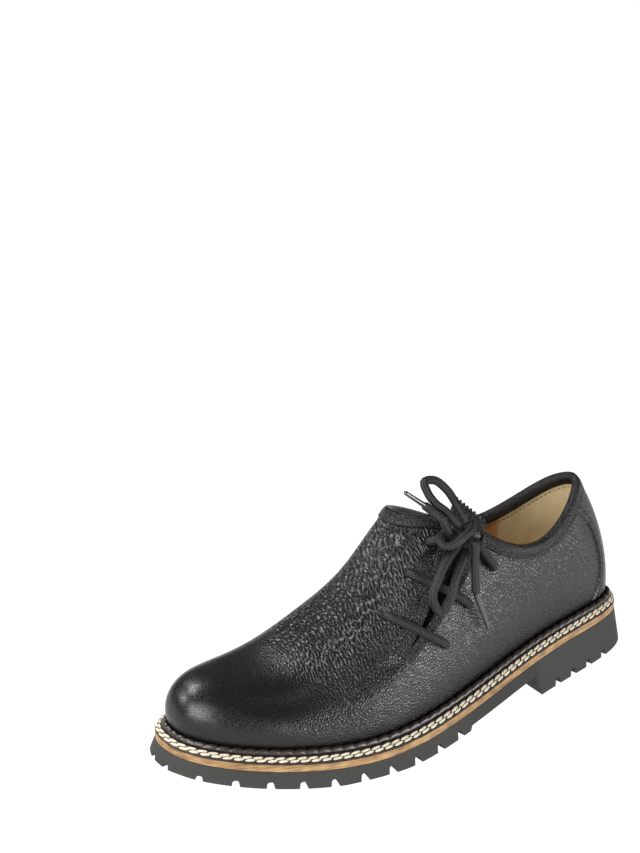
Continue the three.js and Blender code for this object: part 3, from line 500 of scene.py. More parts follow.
def resample(points, step):
    walked = walk(points)
    count = max(2, int(round(walked[-1] / step)) + 1)
    at = np.linspace(0, walked[-1], count)
    return np.stack([np.interp(at, walked, points[:, i]) for i in range(3)], -1)


def frames(points):
    """Direction, side and up at each point of a line, without twist."""
    run = unit(np.gradient(points, axis=0))
    first = np.cross(run[0], UP if abs(run[0][2]) < 0.9 else np.array([1.0, 0, 0]))
    sides = [first / np.linalg.norm(first)]
    for i in range(1, len(run)):
        s = sides[-1] - run[i] * np.dot(sides[-1], run[i])
        sides.append(s / np.linalg.norm(s))
    sides = np.array(sides)
    return run, sides, np.cross(run, sides)


# Places on the skin
grid_u, grid_t = np.meshgrid(np.linspace(0.02, 1, 300), np.linspace(0.002, 0.998, 130), indexing="ij")
sample_sides = np.concatenate([np.ones(grid_u.size), -np.ones(grid_u.size)])
sample_u, sample_t = np.tile(grid_u.ravel(), 2), np.tile(grid_t.ravel(), 2)
sample_points = rib(sample_sides, sample_u, sample_t)
sample_normals = rib_normal(sample_sides, sample_u, sample_t)
skin_tree = KDTree(len(sample_points))
side_tree = KDTree(grid_u.size)
for index, place in enumerate(sample_points.tolist()):
    skin_tree.insert(place, index)
    if index < grid_u.size:
        side_tree.insert((place[0], 0, place[2]), index)
skin_tree.balance()
side_tree.balance()


def on_skin(places):
    places = np.asarray(places, float)
    near = np.array([skin_tree.find(p)[1] for p in places.reshape(-1, 3).tolist()])
    near = near.reshape(places.shape[:-1])
    normal = sample_normals[near]
    away = ((places - sample_points[near]) * normal).sum(-1, keepdims=True)
    return places - normal * away, normal


def on_outer_side(x, z):
    """Point and normal of the outer side's skin seen at x and z from the side."""
    x, z = np.asarray(x, float), np.asarray(z, float)
    near = np.array([side_tree.find((a, 0, b))[1] for a, b in zip(x.ravel(), z.ravel())])
    near = near.reshape(x.shape)
    point, normal = sample_points[near], sample_normals[near]
    off_plane = (x - point[..., 0]) * normal[..., 0] + (z - point[..., 2]) * normal[..., 2]
    y = point[..., 1] - off_plane / normal[..., 1]
    return np.stack([x, y, z], -1), normal


def flat_line(rows, step):
    """Smooth line through places in shares, seen from the side."""
    return curve_through([(x * HALF, 0, z * THROAT_HEIGHT) for x, z in rows], step)


def side_line(rows, step):
    flat = flat_line(rows, step)
    return on_outer_side(flat[:, 0], flat[:, 2])


# Materials
def material(name, colour, roughness, **inputs):
    made = bpy.data.materials.new(name)
    made.use_nodes = True
    shader = made.node_tree.nodes["Principled BSDF"]
    shader.inputs["Base Color"].default_value = (*colour, 1)
    shader.inputs["Roughness"].default_value = roughness
    for key, value in inputs.items():
        shader.inputs[key.replace("_", " ").title().replace("Ior", "IOR")].default_value = value
    return made, made.node_tree, shader


def node(tree, kind, _values=None, **settings):
    made = tree.nodes.new(kind)
    for key, value in settings.items():
        setattr(made, key, value)
    for key, value in (_values or {}).items():
        made.inputs[key].default_value = value
    return made


def link(tree, out, into):
    tree.links.new(out, into)


def coordinates(tree, scale=(1, 1, 1)):
    place = node(tree, "ShaderNodeTexCoord")
    mapping = node(tree, "ShaderNodeMapping", {"Scale": scale})
    link(tree, place.outputs["Object"], mapping.inputs["Vector"])
    return mapping.outputs["Vector"]


def math_node(tree, operation, a, b=None):
    made = node(tree, "ShaderNodeMath", operation=operation)
    for into, value in zip(made.inputs, (a, b)):
        if isinstance(value, (int, float)):
            into.default_value = value
        elif value is not None:
            link(tree, value, into)
    return made.outputs[0]


def times(tree, a, b):
    return math_node(tree, "MULTIPLY", a, b)


def plus(tree, a, b):
    return math_node(tree, "ADD", a, b)


def blend(tree, a, b, part):
    """Two values in shares that make one."""
    return plus(tree, times(tree, a, part), times(tree, b, 1 - part))


def noise(tree, scale, detail, place=None, **values):
    made = node(tree, "ShaderNodeTexNoise", {"Scale": scale, "Detail": detail, **values})
    link(tree, place or coordinates(tree), made.inputs["Vector"])
    return made.outputs["Fac"]


def cells(tree, place, scale, randomness, **settings):
    """Distance from the edges of random cells."""
    values = {"Scale": scale, "Randomness": randomness}
    made = node(tree, "ShaderNodeTexVoronoi", values, feature="DISTANCE_TO_EDGE", **settings)
    link(tree, place, made.inputs["Vector"])
    return made.outputs["Distance"]


def ramp(tree, factor, stops):
    made = node(tree, "ShaderNodeValToRGB")
    elements = made.color_ramp.elements
    while len(elements) < len(stops):
        elements.new(0.5)
    for element, (place, colour) in zip(elements, stops):
        element.position = place
        element.color = (*colour, 1) if len(colour) == 3 else colour
    link(tree, factor, made.inputs["Fac"])
    return made.outputs["Color"]


def grey(value):
    return (value, value, value)


def relief(tree, shader, height):
    """Bump of a height in metres."""
    made = node(tree, "ShaderNodeBump", {"Distance": 1.0, "Strength": 1.0})
    link(tree, height, made.inputs["Height"])
    link(tree, made.outputs["Normal"], shader.inputs["Normal"])


def attribute(tree, name):
    return node(tree, "ShaderNodeAttribute", attribute_name=name).outputs["Fac"]


def tint(tree, shader, factor, stops, into="Base Color"):
    link(tree, ramp(tree, factor, stops), shader.inputs[into])


BLACK = (0.003, 0.003, 0.0033)
PEBBLE_DEPTH = 0.00018
FOLD_DEPTH = 0.0006
WAVE_DEPTH = 0.0004


def leather():
    made, tree, shader = material("black_leather", BLACK, 0.22, specular_ior_level=0.42)
    pebble = cells(tree, coordinates(tree), 610.0, 0.85)
    warp = times(tree, noise(tree, 150.0, 2.0), 1.1)
    place = node(tree, "ShaderNodeCombineXYZ")
    for i, name in enumerate(("along", "girth")):
        link(tree, plus(tree, attribute(tree, name), warp), place.inputs[i])
    wrinkle = cells(tree, place.outputs[0], 1.0, 1.0, voronoi_dimensions="2D")
    height = times(tree, noise(tree, 70.0, 2.0), WAVE_DEPTH)
    for distance, name, depth in ((pebble, "grain", PEBBLE_DEPTH), (wrinkle, "folds", FOLD_DEPTH)):
        crown = ramp(tree, distance, [(0.0, grey(0)), (0.3, grey(0.75)), (0.6, grey(1))])
        height = plus(tree, height, times(tree, crown, times(tree, attribute(tree, name), depth)))
    relief(tree, shader, height)
    tint(tree, shader, pebble, [(0.0, grey(0.45)), (0.25, grey(0.22)), (1, grey(0.18))], "Roughness")
    # Base colour darker in the crevices between the pebbles: painted shade.
    tint(tree, shader, pebble, [(0.0, grey(0.0015)), (0.25, grey(0.0035)), (1, grey(0.0045))])
    return made


def band_leather():
    made, tree, shader = material("edge_leather", BLACK, 0.26, specular_ior_level=0.32)
    pebble = cells(tree, coordinates(tree), 1100.0, 1.0)
    crown = ramp(tree, pebble, [(0.0, grey(0)), (0.2, grey(1))])
    ribs = math_node(tree, "SINE", times(tree, attribute(tree, "run"), 5.2))
    relief(tree, shader, plus(tree, times(tree, crown, 0.00013), times(tree, ribs, 0.00007)))
    return made


def lining():
    made, tree, shader = material("lining", (0.42, 0.3, 0.17), 0.85, sheen_weight=0.25, sheen_roughness=0.5)
    mixed = blend(tree, noise(tree, 1500.0, 4.0), noise(tree, 60.0, 4.0), 0.35)
    suede = ramp(tree, mixed, [(0.3, (0.46, 0.35, 0.19)), (0.7, (0.7, 0.57, 0.34))])
    smooth_leather = ramp(tree, mixed, [(0.3, (0.46, 0.25, 0.09)), (0.7, (0.62, 0.36, 0.14))])
    choose = node(tree, "ShaderNodeMix", data_type="RGBA")
    for value, i in ((attribute(tree, "front"), 0), (suede, 6), (smooth_leather, 7)):
        link(tree, value, choose.inputs[i])
    link(tree, choose.outputs[2], shader.inputs["Base Color"])
    relief(tree, shader, times(tree, mixed, 0.0004))
    return made


def rubber():
    made, tree, shader = material("rubber", (0.03, 0.031, 0.029), 0.75, specular_ior_level=0.3)
    fine, broad = noise(tree, 1200.0, 3.0), noise(tree, 45.0, 3.0)
    dark, light = (0.019, 0.0194, 0.0178), (0.033, 0.034, 0.031)
    tint(tree, shader, blend(tree, fine, broad, 0.5), [(0.3, dark), (0.7, light)])
    tint(tree, shader, broad, [(0.3, grey(0.68)), (0.7, grey(0.84))], "Roughness")
    relief(tree, shader, times(tree, fine, 0.00012))
    return made


def midsole_leather():
    made, tree, shader = material("midsole_leather", (0.3, 0.15, 0.05), 0.6)
    streak = noise(tree, 1.0, 5.0, coordinates(tree, (60, 60, 900)), Roughness=0.65)
    stops = [(0.36, (0.1, 0.054, 0.022)), (0.5, (0.25, 0.14, 0.056)), (0.66, (0.4, 0.25, 0.11))]
    tint(tree, shader, blend(tree, streak, noise(tree, 120.0, 2.0), 0.6), stops)
    relief(tree, shader, times(tree, streak, 0.0003))
    return made


def lace_cord():
    made, tree, shader = material("lace_cord", (0.007, 0.007, 0.008), 0.55, specular_ior_level=0.3)
    fine = noise(tree, 2200.0, 4.0)
    # Base colour darker in the grooves between the plaits and lighter on their crowns, with fine random tone:
    # painted shade and painted highlight.
    shade = times(tree, attribute(tree, "plait"), fine)
    tint(tree, shader, shade, [(0.05, grey(0.001)), (0.5, (0.03, 0.03, 0.033))])
    relief(tree, shader, times(tree, fine, 0.0002))
    return made


def mottled(name, colour, roughness, scale, depth, **inputs):
    """Colour that varies a little round its middle value, with a fine relief."""
    made, tree, shader = material(name, colour, roughness, **inputs)
    fine = noise(tree, scale, 4.0)
    low, high = (tuple(c * share_ for c in colour) for share_ in (0.6, 1.4))
    tint(tree, shader, fine, [(0.3, low), (0.7, high)])
    relief(tree, shader, times(tree, fine, depth))
    return made


LEATHER = leather()
EDGE = band_leather()
LINING = lining()
RUBBER = rubber()
MIDSOLE_LEATHER = midsole_leather()
WELT_LEATHER = mottled("welt_leather", (0.012, 0.011, 0.01), 0.5, 500.0, 0.0003)
BEAD_LEATHER = mottled(
    "bead_leather", (0.016, 0.011, 0.009), 0.36, 240.0, 0.0004, coat_weight=0.12, coat_roughness=0.2
)
THREAD = mottled("welt_thread", (0.5, 0.44, 0.335), 0.7, 1400.0, 0.0003)
DARK_THREAD = mottled("dark_thread", (0.03, 0.03, 0.032), 0.6, 1400.0, 0.0002)
TAN_THREAD = mottled("tan_thread", (0.26, 0.13, 0.045), 0.7, 1400.0, 0.0002)
SOCK = mottled("sock_leather", (0.42, 0.28, 0.15), 0.75, 90.0, 0.0004)
LACE_CORD = lace_cord()
AGLET_FILM = mottled(
    "aglet_film", (0.02, 0.02, 0.022), 0.18, 300.0, 0.0001, coat_weight=1.0, coat_roughness=0.05
)


# Laces
def hole_place(name):
    x, z = HOLES[name]
    point, normal = on_outer_side(np.array([x * HALF]), np.array([z * THROAT_HEIGHT]))
    return point[0], normal[0]


def out_of_hole(name, toward, rise):
    point, normal = hole_place(name)
    goal = toward - point
    goal = unit(goal - normal * np.dot(goal, normal))
    bend, bend_normal = on_skin(point + goal * LACE_HOLE / 2)
    through = [point + normal * far for far in (-WALL - 0.6, -WALL * 0.4, LACE_HOLE * 0.2)]
    return [*through, bend + bend_normal * rise]


def hole_ring(name, radius):
    """Circle round a lace hole, and the direction out of it."""
    point, normal = hole_place(name)
    right = unit(np.cross(UP, normal))
    angle = np.linspace(0, 2 * np.pi, 24, endpoint=False)[:, None]
    return point + radius * (np.cos(angle) * right + np.sin(angle) * np.cross(normal, right)), normal


def braid(name, line, diameter=LACE):
    """Round cord of eight plaits along a line of points."""
    step = 0.34
    line = resample(np.asarray(line, float), step)
    run, side, up = frames(line)
    sides, plaits, rib_pitch = 40, 8, 1.5
    angle = np.linspace(0, 2 * np.pi, sides, endpoint=False)
    s, a = np.meshgrid(np.arange(len(line)) * step, angle, indexing="ij")
    lane = plaits * a / (2 * np.pi)
    part = lane - np.floor(lane)
    slant = np.where(np.floor(lane) % 2 == 0, part, -part)
    ridge = 0.5 + 0.5 * np.cos(2 * np.pi * (s / rib_pitch + slant))
    crown = np.sin(np.pi * part) ** 0.6
    radius = diameter / 2 * (0.85 + 0.2 * (0.2 + 0.8 * ridge) * crown)
    end = np.minimum(s, s[-1, 0] - s)
    radius = radius * np.sqrt(1 - (1 - np.clip(end / 1.6, 0.04, 1)) ** 2)
    away = np.cos(a)[..., None] * side[:, None] + np.sin(a)[..., None] * up[:, None]
    rings = line[:, None] + radius[..., None] * away
    # Relief of the plaits, which the cord's material also uses for painted shade in the grooves and a painted
    # highlight on the crowns.
    plait = {"plait": (ridge * crown).ravel()}
    return outward(make(name, *loft(rings), [LACE_CORD], angle=80, attributes=plait))


def bar(name, start_hole, end_hole, node_name):
    start, end = hole_place(start_hole)[0], hole_place(end_hole)[0]
    rise = LACE / 2 + 1
    middle, normal = on_skin((start + end) / 2)
    first, last = out_of_hole(start_hole, end, rise), out_of_hole(end_hole, start, rise)
    line = curve_through([*first, middle + normal * rise, *last[::-1]], 0.5)
    stand_for(braid(name, line), node_name)


bar("lace_bar_low_braid", "low_front", "low_back", "lace_bar_low")
bar("lace_bar_mid_braid", "mid_front", "mid_back", "lace_bar_mid")


def from_shares(place):
    return np.array(place) * [HALF, BALL_WIDTH, THROAT_HEIGHT]


KNOT = from_shares(KNOT_PLACE)


def leave_knot(name):
    """Two points off the knot and one inside it."""
    direction = unit(np.array(AT_KNOT[name], float))
    start = KNOT_RADIUS + 1.5 * GAP
    return [KNOT + direction * far for far in (start * 0.35, start, start + LACE / 2)]


def route(name):
    return [from_shares(place) for place in ROUTES[name]]


def top_lace(name, hole, key, node_name):
    points = [*out_of_hole(hole, KNOT, LACE / 2 + 1 + 2 * GAP), *route(key), *leave_knot(key)[::-1]]
    stand_for(braid(name, curve_through(points, 0.5)), node_name)


top_lace("lace_top_front_braid", "top_front", "top_front", "lace_top_front")
top_lace("lace_top_back_braid", "top_back", "top_back", "lace_top_back")


def free_cord(name, points, node_name):
    line = curve_through(points, 0.5)
    piece = braid(name, line)
    length = walk(line)[-1]
    stand_for(piece, node_name)
    return float(length)


def aglet(name, start, tip, node_name):
    run = unit(tip - start)
    line = resample(np.stack([start - run * 0.6, tip]), 0.5)
    run, side, up = frames(line)
    a = np.linspace(0, 2 * np.pi, 20, endpoint=False)
    s = np.linspace(0, 1, len(line))[:, None]
    radius = AGLET / 2 * (1.12 - 0.2 * s) * np.sqrt(1 - (1 - np.clip((1 - s) / 0.06, 0.1, 1)) ** 2)
    wide = np.cos(a)[None, :, None] * side[:, None]
    tall = 0.82 * np.sin(a)[None, :, None] * up[:, None]
    rings = line[:, None] + radius[..., None] * (wide + tall)
    piece = outward(make(name, *loft(rings), [AGLET_FILM], angle=60))
    stand_for(piece, node_name)
    return piece


def lace_loop(which):
    out, back = leave_knot(f"{which}_loop_out"), leave_knot(f"{which}_loop_back")
    points = [*out, *route(f"{which}_loop"), *back[::-1]]
    return free_cord(f"lace_loop_{which}_braid", points, f"lace_loop_{which}")


def lace_end(which):
    rows = route(f"{which}_end")
    film = aglet(f"aglet_{which}_film", rows[-1], from_shares(AGLET_TIPS[which]), f"aglet_{which}")
    points = [*leave_knot(f"{which}_end"), *rows]
    return free_cord(f"lace_end_{which}_braid", points, f"lace_end_{which}")


cord_lengths = [
    lace_loop("low"),
    lace_loop("high"),
    lace_end("low"),
    lace_end("high"),
]
print("cord lengths in mm:", [round(length, 1) for length in cord_lengths])


def knot():
    """Two wraps of the cord drawn tight, and the turn round the loops."""
    t = np.linspace(0, 2 * np.pi, 140, endpoint=False)
    across_, tall = np.sin(t) + 2 * np.sin(2 * t), np.cos(t) - 2 * np.cos(2 * t)
    local = KNOT_SIZE * np.stack([across_, tall, -1.35 * np.sin(3 * t)], -1)
    out = on_skin(KNOT[None])[1][0]
    right = unit(np.cross(UP, out))
    up = np.cross(out, right)
    line = KNOT + local[:, :1] * right + local[:, 1:2] * up + local[:, 2:] * out
    stand_for(braid("lace_knot_wraps", np.vstack([line, line[:1]]), LACE * 0.94), "lace_knot")
    turn = braid("lace_knot_turn", curve_through(route("wrap"), 0.5))


knot()


# Upper
# Soft troughs and ridges of the leather: side, stations u and heights t, width and depth in mm
CREASES = [
    (1, (0.425, 0.39, 0.345, 0.29, 0.22, 0.14), (0.5, 0.53, 0.5, 0.46, 0.45, 0.5), 5.5, 1.3),
    (1, (0.46, 0.435, 0.4, 0.36), (0.24, 0.26, 0.27, 0.28), 8, -1.1),
    (1, (0.452, 0.437, 0.42), (0.3, 0.33, 0.38), 3, 0.7),
    (1, (0.5, 0.485, 0.47), (0.18, 0.24, 0.3), 4, 0.6),
    (1, (0.56, 0.55, 0.53), (0.3, 0.2, 0.12), 6, 0.5),
    (-1, (0.5, 0.45, 0.39, 0.33, 0.27, 0.2), (0.62, 0.6, 0.55, 0.5, 0.47, 0.46), 5.5, 1.2),
    (-1, (0.5, 0.45, 0.4), (0.3, 0.3, 0.3), 8, -0.8),
]


def creased(points):
    """How far each point of the skin is pushed in."""
    total = np.zeros(len(points))
    for side, u, t, width, depth in CREASES:
        line = curve_through(rib(side, np.array(u), np.array(t)), 2)
        distance = np.full(len(points), 1e9)
        fade = np.zeros(len(points))
        for i, p in enumerate(line):
            d = np.linalg.norm(points - p, axis=1)
            near = d < distance
            distance[near] = d[near]
            fade[near] = math.sin(math.pi * (i + 0.5) / len(line)) ** 0.6
        total += depth * fade * np.exp(-((distance / width) ** 2))
    return total


# Wrinkles of the vamp, along the shoe and round it
WRINKLE = (1.9, 4.6)


def slit_cutter():
    flat = np.vstack([flat_line(SLIT_FRONT, 3), flat_line(SLIT_BACK, 3)[:0:-1]])
    rings = np.stack([flat + [0, LACE, 0], flat + [0, BALL_WIDTH, 0]])
    return outward(make("slit_cutter", *loft(rings), [], body=None))


def make_upper():
    front, back, rows = 92, 120, 62
    before = THROAT * np.arange(front) / front
    behind = THROAT + (1 - THROAT) * (np.arange(back + 1) / back) ** 1.1
    stations = np.concatenate([before, behind])
    u = np.concatenate([stations, stations[1:-1][::-1]])
    side = np.concatenate([np.ones(len(stations)), -np.ones(len(stations) - 2)])
    part = (np.arange(rows) / (rows - 1)) ** 1.25
    top = collar_t(side, u)
    t = top[:, None] * part
    points = rib(side[:, None], u[:, None], t)
    girth = np.array([walk(row) for row in points])
    to_ridge = girth[:, -1:] - girth
    sides = np.broadcast_to(side[:, None], t.shape)
    faces = grid_faces(len(u), rows, closed_rows=True)[:, ::-1]
    skin, kept, ts, girths, to_ridge, sides = weld(
        points.reshape(-1, 3), faces, t.ravel(), girth.ravel(), to_ridge.ravel(), sides.ravel()
    )
    normals = vertex_normals(skin, kept)
    if np.mean(normals[:, 1] * sides) < 0:
        kept = [face[::-1] for face in kept]
        normals = -normals
    flat = np.abs(skin[:, 2] - seat(skin[:, 0]) - LIFT) < 1e-3
    normals[flat, 2] = 0
    normals = unit(normals)
    shell = skin - normals * creased(skin)[:, None] * smooth(0, 6, girths)[:, None]
    inner = skin - normals * WALL
    count = len(skin)
    all_faces = kept + [[count + i for i in face[::-1]] for face in kept]
    all_faces += [[b, a, count + a, count + b] for a, b in boundary(kept)]
    inside = [0] * len(kept) + [1] * len(kept) + [0] * (len(all_faces) - 2 * len(kept))
    materials = [LEATHER, LINING]
    obj = make("upper_leather_shell", np.vstack([shell, inner]), all_faces, materials, inside, body=None)
    outward(obj)
    cutters = [slit_cutter()]
    for name in HOLES:
        ring, normal = hole_ring(name, HOLE_RADIUS)
        rings = np.stack([ring - normal * 8, ring + normal * 8])
        cutters.append(outward(make("hole_cutter", *loft(rings), [], body=None)))
    cut(obj, cutters)
    paint_upper(obj, np.vstack([skin, inner]), np.tile(ts, 2), np.tile(to_ridge, 2), np.tile(sides, 2))
    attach(obj, "root")
    stand_for(obj, "upper")
    # Dark leather discs across the lace holes, under the skin, hide the lining behind the gaps round the
    # laces: painted shade.
    for name in HOLES:
        ring, normal = hole_ring(name, HOLE_RADIUS * 1.2)
        rings = np.stack([ring - normal * 1.7, ring - normal * 1.2])
        outward(make(f"hole_shade_disc_{name}", *loft(rings), [EDGE]))


def paint_upper(obj, source, ts, girths, sides):
    """Masks for the grain: its place along, its girth, pebbles, folds and the front lining."""
    tree = KDTree(len(source))
    for i, p in enumerate(source.tolist()):
        tree.insert(p, i)
    tree.balance()
    mesh = obj.data
    flat = np.empty(len(mesh.vertices) * 3)
    mesh.vertices.foreach_get("co", flat)
    points = flat.reshape(-1, 3) / MM - OFFSET
    near = np.array([tree.find(p)[1] for p in points.tolist()])
    t, girth, side = ts[near], girths[near], sides[near]
    x = points[:, 0]
    folds = smooth(92, 62, x) * smooth(0.42, 0.72, t) * smooth(-70, -30, x)
    folds = np.maximum(folds, 0.35 * smooth(84, 50, x) * smooth(-60, 20, x) * smooth(0.2, 0.5, t))
    grain = 0.12 + 0.88 * smooth(112, 66, x)
    values = {
        "along": x / WRINKLE[0],
        "girth": girth / WRINKLE[1] * side,
        "grain": grain * (1 - 0.8 * folds),
        "folds": folds,
        "front": (x > -84).astype(float),
    }
    shade(mesh, 50, values)


make_upper()


# Strips and stitches on the skin
def lay_strip(name, points, normals, flip, profile, replaced=None):
    """Strip swept along a line on the skin. profile rows are distance from the line and height."""
    run = unit(np.gradient(points, axis=0))
    down = unit(np.cross(normals, run)) * flip
    rings = []
    for distance, height in profile:
        if distance > 0:
            place, normal = on_skin(points + down * distance)
        else:
            place, normal = points + down * distance, normals
        rings.append(place + normal * height)
    rings = np.stack(rings, 1)
    walked = walk(points)
    run_along = {"run": np.repeat(walked, len(profile))}
    piece = outward(make(name, *loft(rings), [EDGE], angle=50, attributes=run_along))
    if replaced:
        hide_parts(replaced)


def stitches(name, line, pitch, size, material_=DARK_THREAD, turn=0.0, phase=0.0):
    """Row of small rounded stitches of a length, width and height along a line of points and normals."""
    points, normals = line
    walked = walk(points)
    count = max(1, int(walked[-1] / pitch))
    at = (np.arange(count) + 0.5 + phase) % count * walked[-1] / count

    def between(rows, place):
        return np.stack([np.interp(place, walked, rows[:, i]) for i in range(3)], -1)

    normal = unit(between(normals, at))
    run = unit(between(points, at + 0.3) - between(points, at - 0.3))
    side = unit(np.cross(normal, run))
    run, side = run * math.cos(turn) + side * math.sin(turn), side * math.cos(turn) - run * math.sin(turn)
    s, a = np.meshgrid(np.linspace(-1, 1, 7), np.linspace(0, 2 * np.pi, 8, endpoint=False), indexing="ij")
    thick = np.sqrt(np.maximum(1 - np.abs(s) ** 2.6, 0.02))
    rings = between(points, at)[:, None, None, :]
    for part, half, direction in zip((s, np.cos(a) * thick, np.sin(a) * thick), size, (run, side, normal)):
        rings = rings + (part * half / 2)[None, ..., None] * direction[:, None, None, :]
    one = loft(rings[0])[1]
    faces = [[i * s.size + corner for corner in face] for i in range(count) for face in one]
    outward(make(name, rings.reshape(-1, 3), faces, [material_], angle=80))


def collar_line(step):
    front, back = station(-0.125 * HALF), station(-0.285 * HALF)
    inner, lap = np.linspace(1, THROAT, 190)[1:], np.linspace(THROAT, front, 24)[1:]
    pieces = [(1, np.linspace(back, 1, 150)), (-1, inner), (1, lap)]
    path = resample(np.vstack([rib(side, u, collar_t(side, u)) for side, u in pieces]), step)
    return path, on_skin(path)[1]


# Folded strip over the collar: distance below the edge and height over the skin
BAND = [
    (6.3, 0.15), (6.1, 0.75), (5.6, 1.2), (4.9, 1.2), (4.4, 0.85), (3.9, 1.25), (3.0, 1.5),
    (1.6, 1.55), (0.3, 1.5), (-1.0, 1.2), (-1.7, 0.3), (-2.0, -0.9), (-1.9, -2.2), (-1.2, -3.3),
    (0, -3.8), (1.6, -3.9), (3.4, -3.8), (4.6, -3.6), (4.9, -3.0), (4.8, -2.3), (3.0, -2.15),
    (0.5, -2.1), (-0.3, -1.2), (-0.2, -0.2), (0.6, 0.1), (3.0, 0.1),
]
collar, collar_normals = collar_line(1.6)
down_sign = -1 if np.mean(np.cross(collar_normals, np.gradient(collar, axis=0))[:, 2]) > 0 else 1
lay_strip("collar_band_rolled", collar, collar_normals, down_sign, BAND, "collar_band")


def shifted(points, normals, flip, distance, height):
    """The same line moved along the skin."""
    run = unit(np.gradient(points, axis=0))
    down = unit(np.cross(normals, run)) * flip
    place, normal = on_skin(points + down * distance)
    return place + normal * height, normal


for name, distance, height, pitch, size, thread in (
    ("collar_band_stitches", 4.4, 1.0, 2.5, (2.0, 0.65, 0.55), DARK_THREAD),
    ("collar_lower_stitches", 7.3, 0.1, 2.5, (2.0, 0.55, 0.5), DARK_THREAD),
    ("lining_stitches", 8.0, -WALL - 0.1, 2.8, (2.2, 0.8, 0.7), TAN_THREAD),
):
    stitches(name, shifted(collar, collar_normals, down_sign, distance, height), pitch, size, thread)

# Turned edges of the slit
SLIT_EDGE = [
    (5.3, -0.25), (5.2, 0.4), (4.7, 0.75), (4.1, 0.75), (3.7, 0.45), (3.2, 0.8), (2.5, 0.85),
    (2.0, 0.5), (1.5, 0.9), (0.6, 1.0), (-0.3, 0.75), (-0.75, 0.0), (-0.75, -1.4), (-0.4, -2.3),
    (0.6, -2.6), (0.8, -2.3), (0.1, -1.2), (0.1, -0.25),
]
# Where the slit's edges run under the collar band: places along the shoe and heights
UNDER_BAND = ((-50, -40, -30, -20, -10, 0, 12), (93, 99, 107, 111, 112, 115, 116))
for name, rows, ahead in (("slit_edge_front", SLIT_FRONT, 1), ("slit_edge_back", SLIT_BACK, -1)):
    last = (np.array(rows[-2]) + 2.2 * np.array(rows[-1])) / 3.2
    edge, edge_normals = side_line([*rows[:-1], last], 1.6)
    keep = edge[:, 2] < np.interp(edge[:, 0], *UNDER_BAND)
    edge, edge_normals = edge[keep], edge_normals[keep]
    away = np.cross(edge_normals, np.gradient(edge, axis=0))
    flip = 1 if np.mean(away[:, 0]) * ahead > 0 else -1
    lay_strip(name, edge, edge_normals, flip, SLIT_EDGE)
    for k, distance in enumerate((2.0, 3.7)):
        line = shifted(edge, edge_normals, flip, distance, 0.75)
        stitches(f"{name}_stitches_{k + 1}", line, 2.4, (1.9, 0.6, 0.5))


# Heel strap
def make_strap():
    rows, steps = 56, 60
    part = np.linspace(0, 1, rows)
    sweep = np.linspace(-1, 1, steps)
    p, s = np.meshgrid(part, sweep, indexing="ij")
    side = np.where(s < 0, 1.0, -1.0)
    u = 1 - (1 - strap_edge(p)) * np.abs(s)
    ring = rib(side, u, collar_t(side, u))
    ground = rib(side, u, 0 * u)[..., 2]
    z = ground + 3.9 + (ring[..., 2] - 4.6 - ground - 3.9) * p
    t = t_at_height(side, u, z)
    point = rib(side, u, t)
    normal = rib_normal(side, np.minimum(u, 0.996), t)
    lateral = 1 - np.abs(s)
    edge = np.sqrt(1 - (1 - np.clip(lateral / 0.045, 0, 1)) ** 2)
    seam = np.exp(-(((lateral - 0.13) / 0.03) ** 2))
    piping = np.exp(-(((lateral - 0.05) / 0.02) ** 2))
    rise = 0.1 + 0.8 * edge - 0.35 * seam + 0.3 * piping
    top = (point + normal * rise[..., None]).reshape(-1, 3)
    bottom = (point - normal * 0.4).reshape(-1, 3)
    size = rows * steps
    masks = {
        "along": np.tile(point[..., 0].ravel() / WRINKLE[0], 2),
        "girth": np.tile(point[..., 2].ravel() / WRINKLE[1], 2),
        "grain": np.ones(2 * size),
        "folds": np.zeros(2 * size),
        "front": np.zeros(2 * size),
    }
    points, faces = np.vstack([top, bottom]), slab_faces(rows, steps)
    piece = outward(make("heel_strap_leather", points, faces, [LEATHER], attributes=masks))
    stand_for(piece, "heel_strap")
    for k, at in enumerate((4, steps - 5)):
        line = point[:, at] + normal[:, at] * 1.2, normal[:, at]
        stitches(f"heel_strap_stitches_{k + 1}", line, 2.4, (1.9, 0.55, 0.5))


make_strap()


# Tongue
def make_tongue():
    slit_end = np.array(SLIT_FRONT[0]) * [HALF, THROAT_HEIGHT]
    top = np.array(TONGUE_TOP) * [HALF, THROAT_HEIGHT]
    run = unit(top - slit_end)
    tip = slit_end - run * TONGUE_REACH
    length = np.linalg.norm(top - tip) + TONGUE_STAND_OUT
    sideways = np.array([-run[1], run[0]])
    depth = WALL + 3 * GAP + 1.7
    steps, columns = 60, 61
    part, cross = np.meshgrid(np.linspace(0, 1, steps), np.linspace(-1, 1, columns), indexing="ij")
    pinking = np.abs(np.sin(np.pi * 4.5 * (cross + 1)))
    reach = part * length - smooth(0.9, 1, part) * 1.7 * (1 - pinking)
    narrow = TONGUE_TIP + (1 - TONGUE_TIP) * np.minimum(part * 2, 1)
    flat = tip + reach[..., None] * run + (cross * TONGUE_HALF_WIDTH * narrow)[..., None] * sideways
    over = np.maximum(flat[..., 1] - TONGUE_FREE * THROAT_HEIGHT, 0)
    point, normal = on_outer_side(flat[..., 0], flat[..., 1] - over)
    point = point + over[..., None] * np.array([0, -0.8, 1])
    ribs = 0.35 * smooth(0.72, 0.85, part) * (pinking - 0.5)
    front = point - normal * (depth - ribs[..., None])
    back = point - normal * (depth + 1.6)
    points = np.stack([front, back]).reshape(-1, 3)
    piece = outward(make("tongue_leather_pinked", points, slab_faces(steps, columns), [EDGE]))
    stand_for(piece, "tongue")


make_tongue()


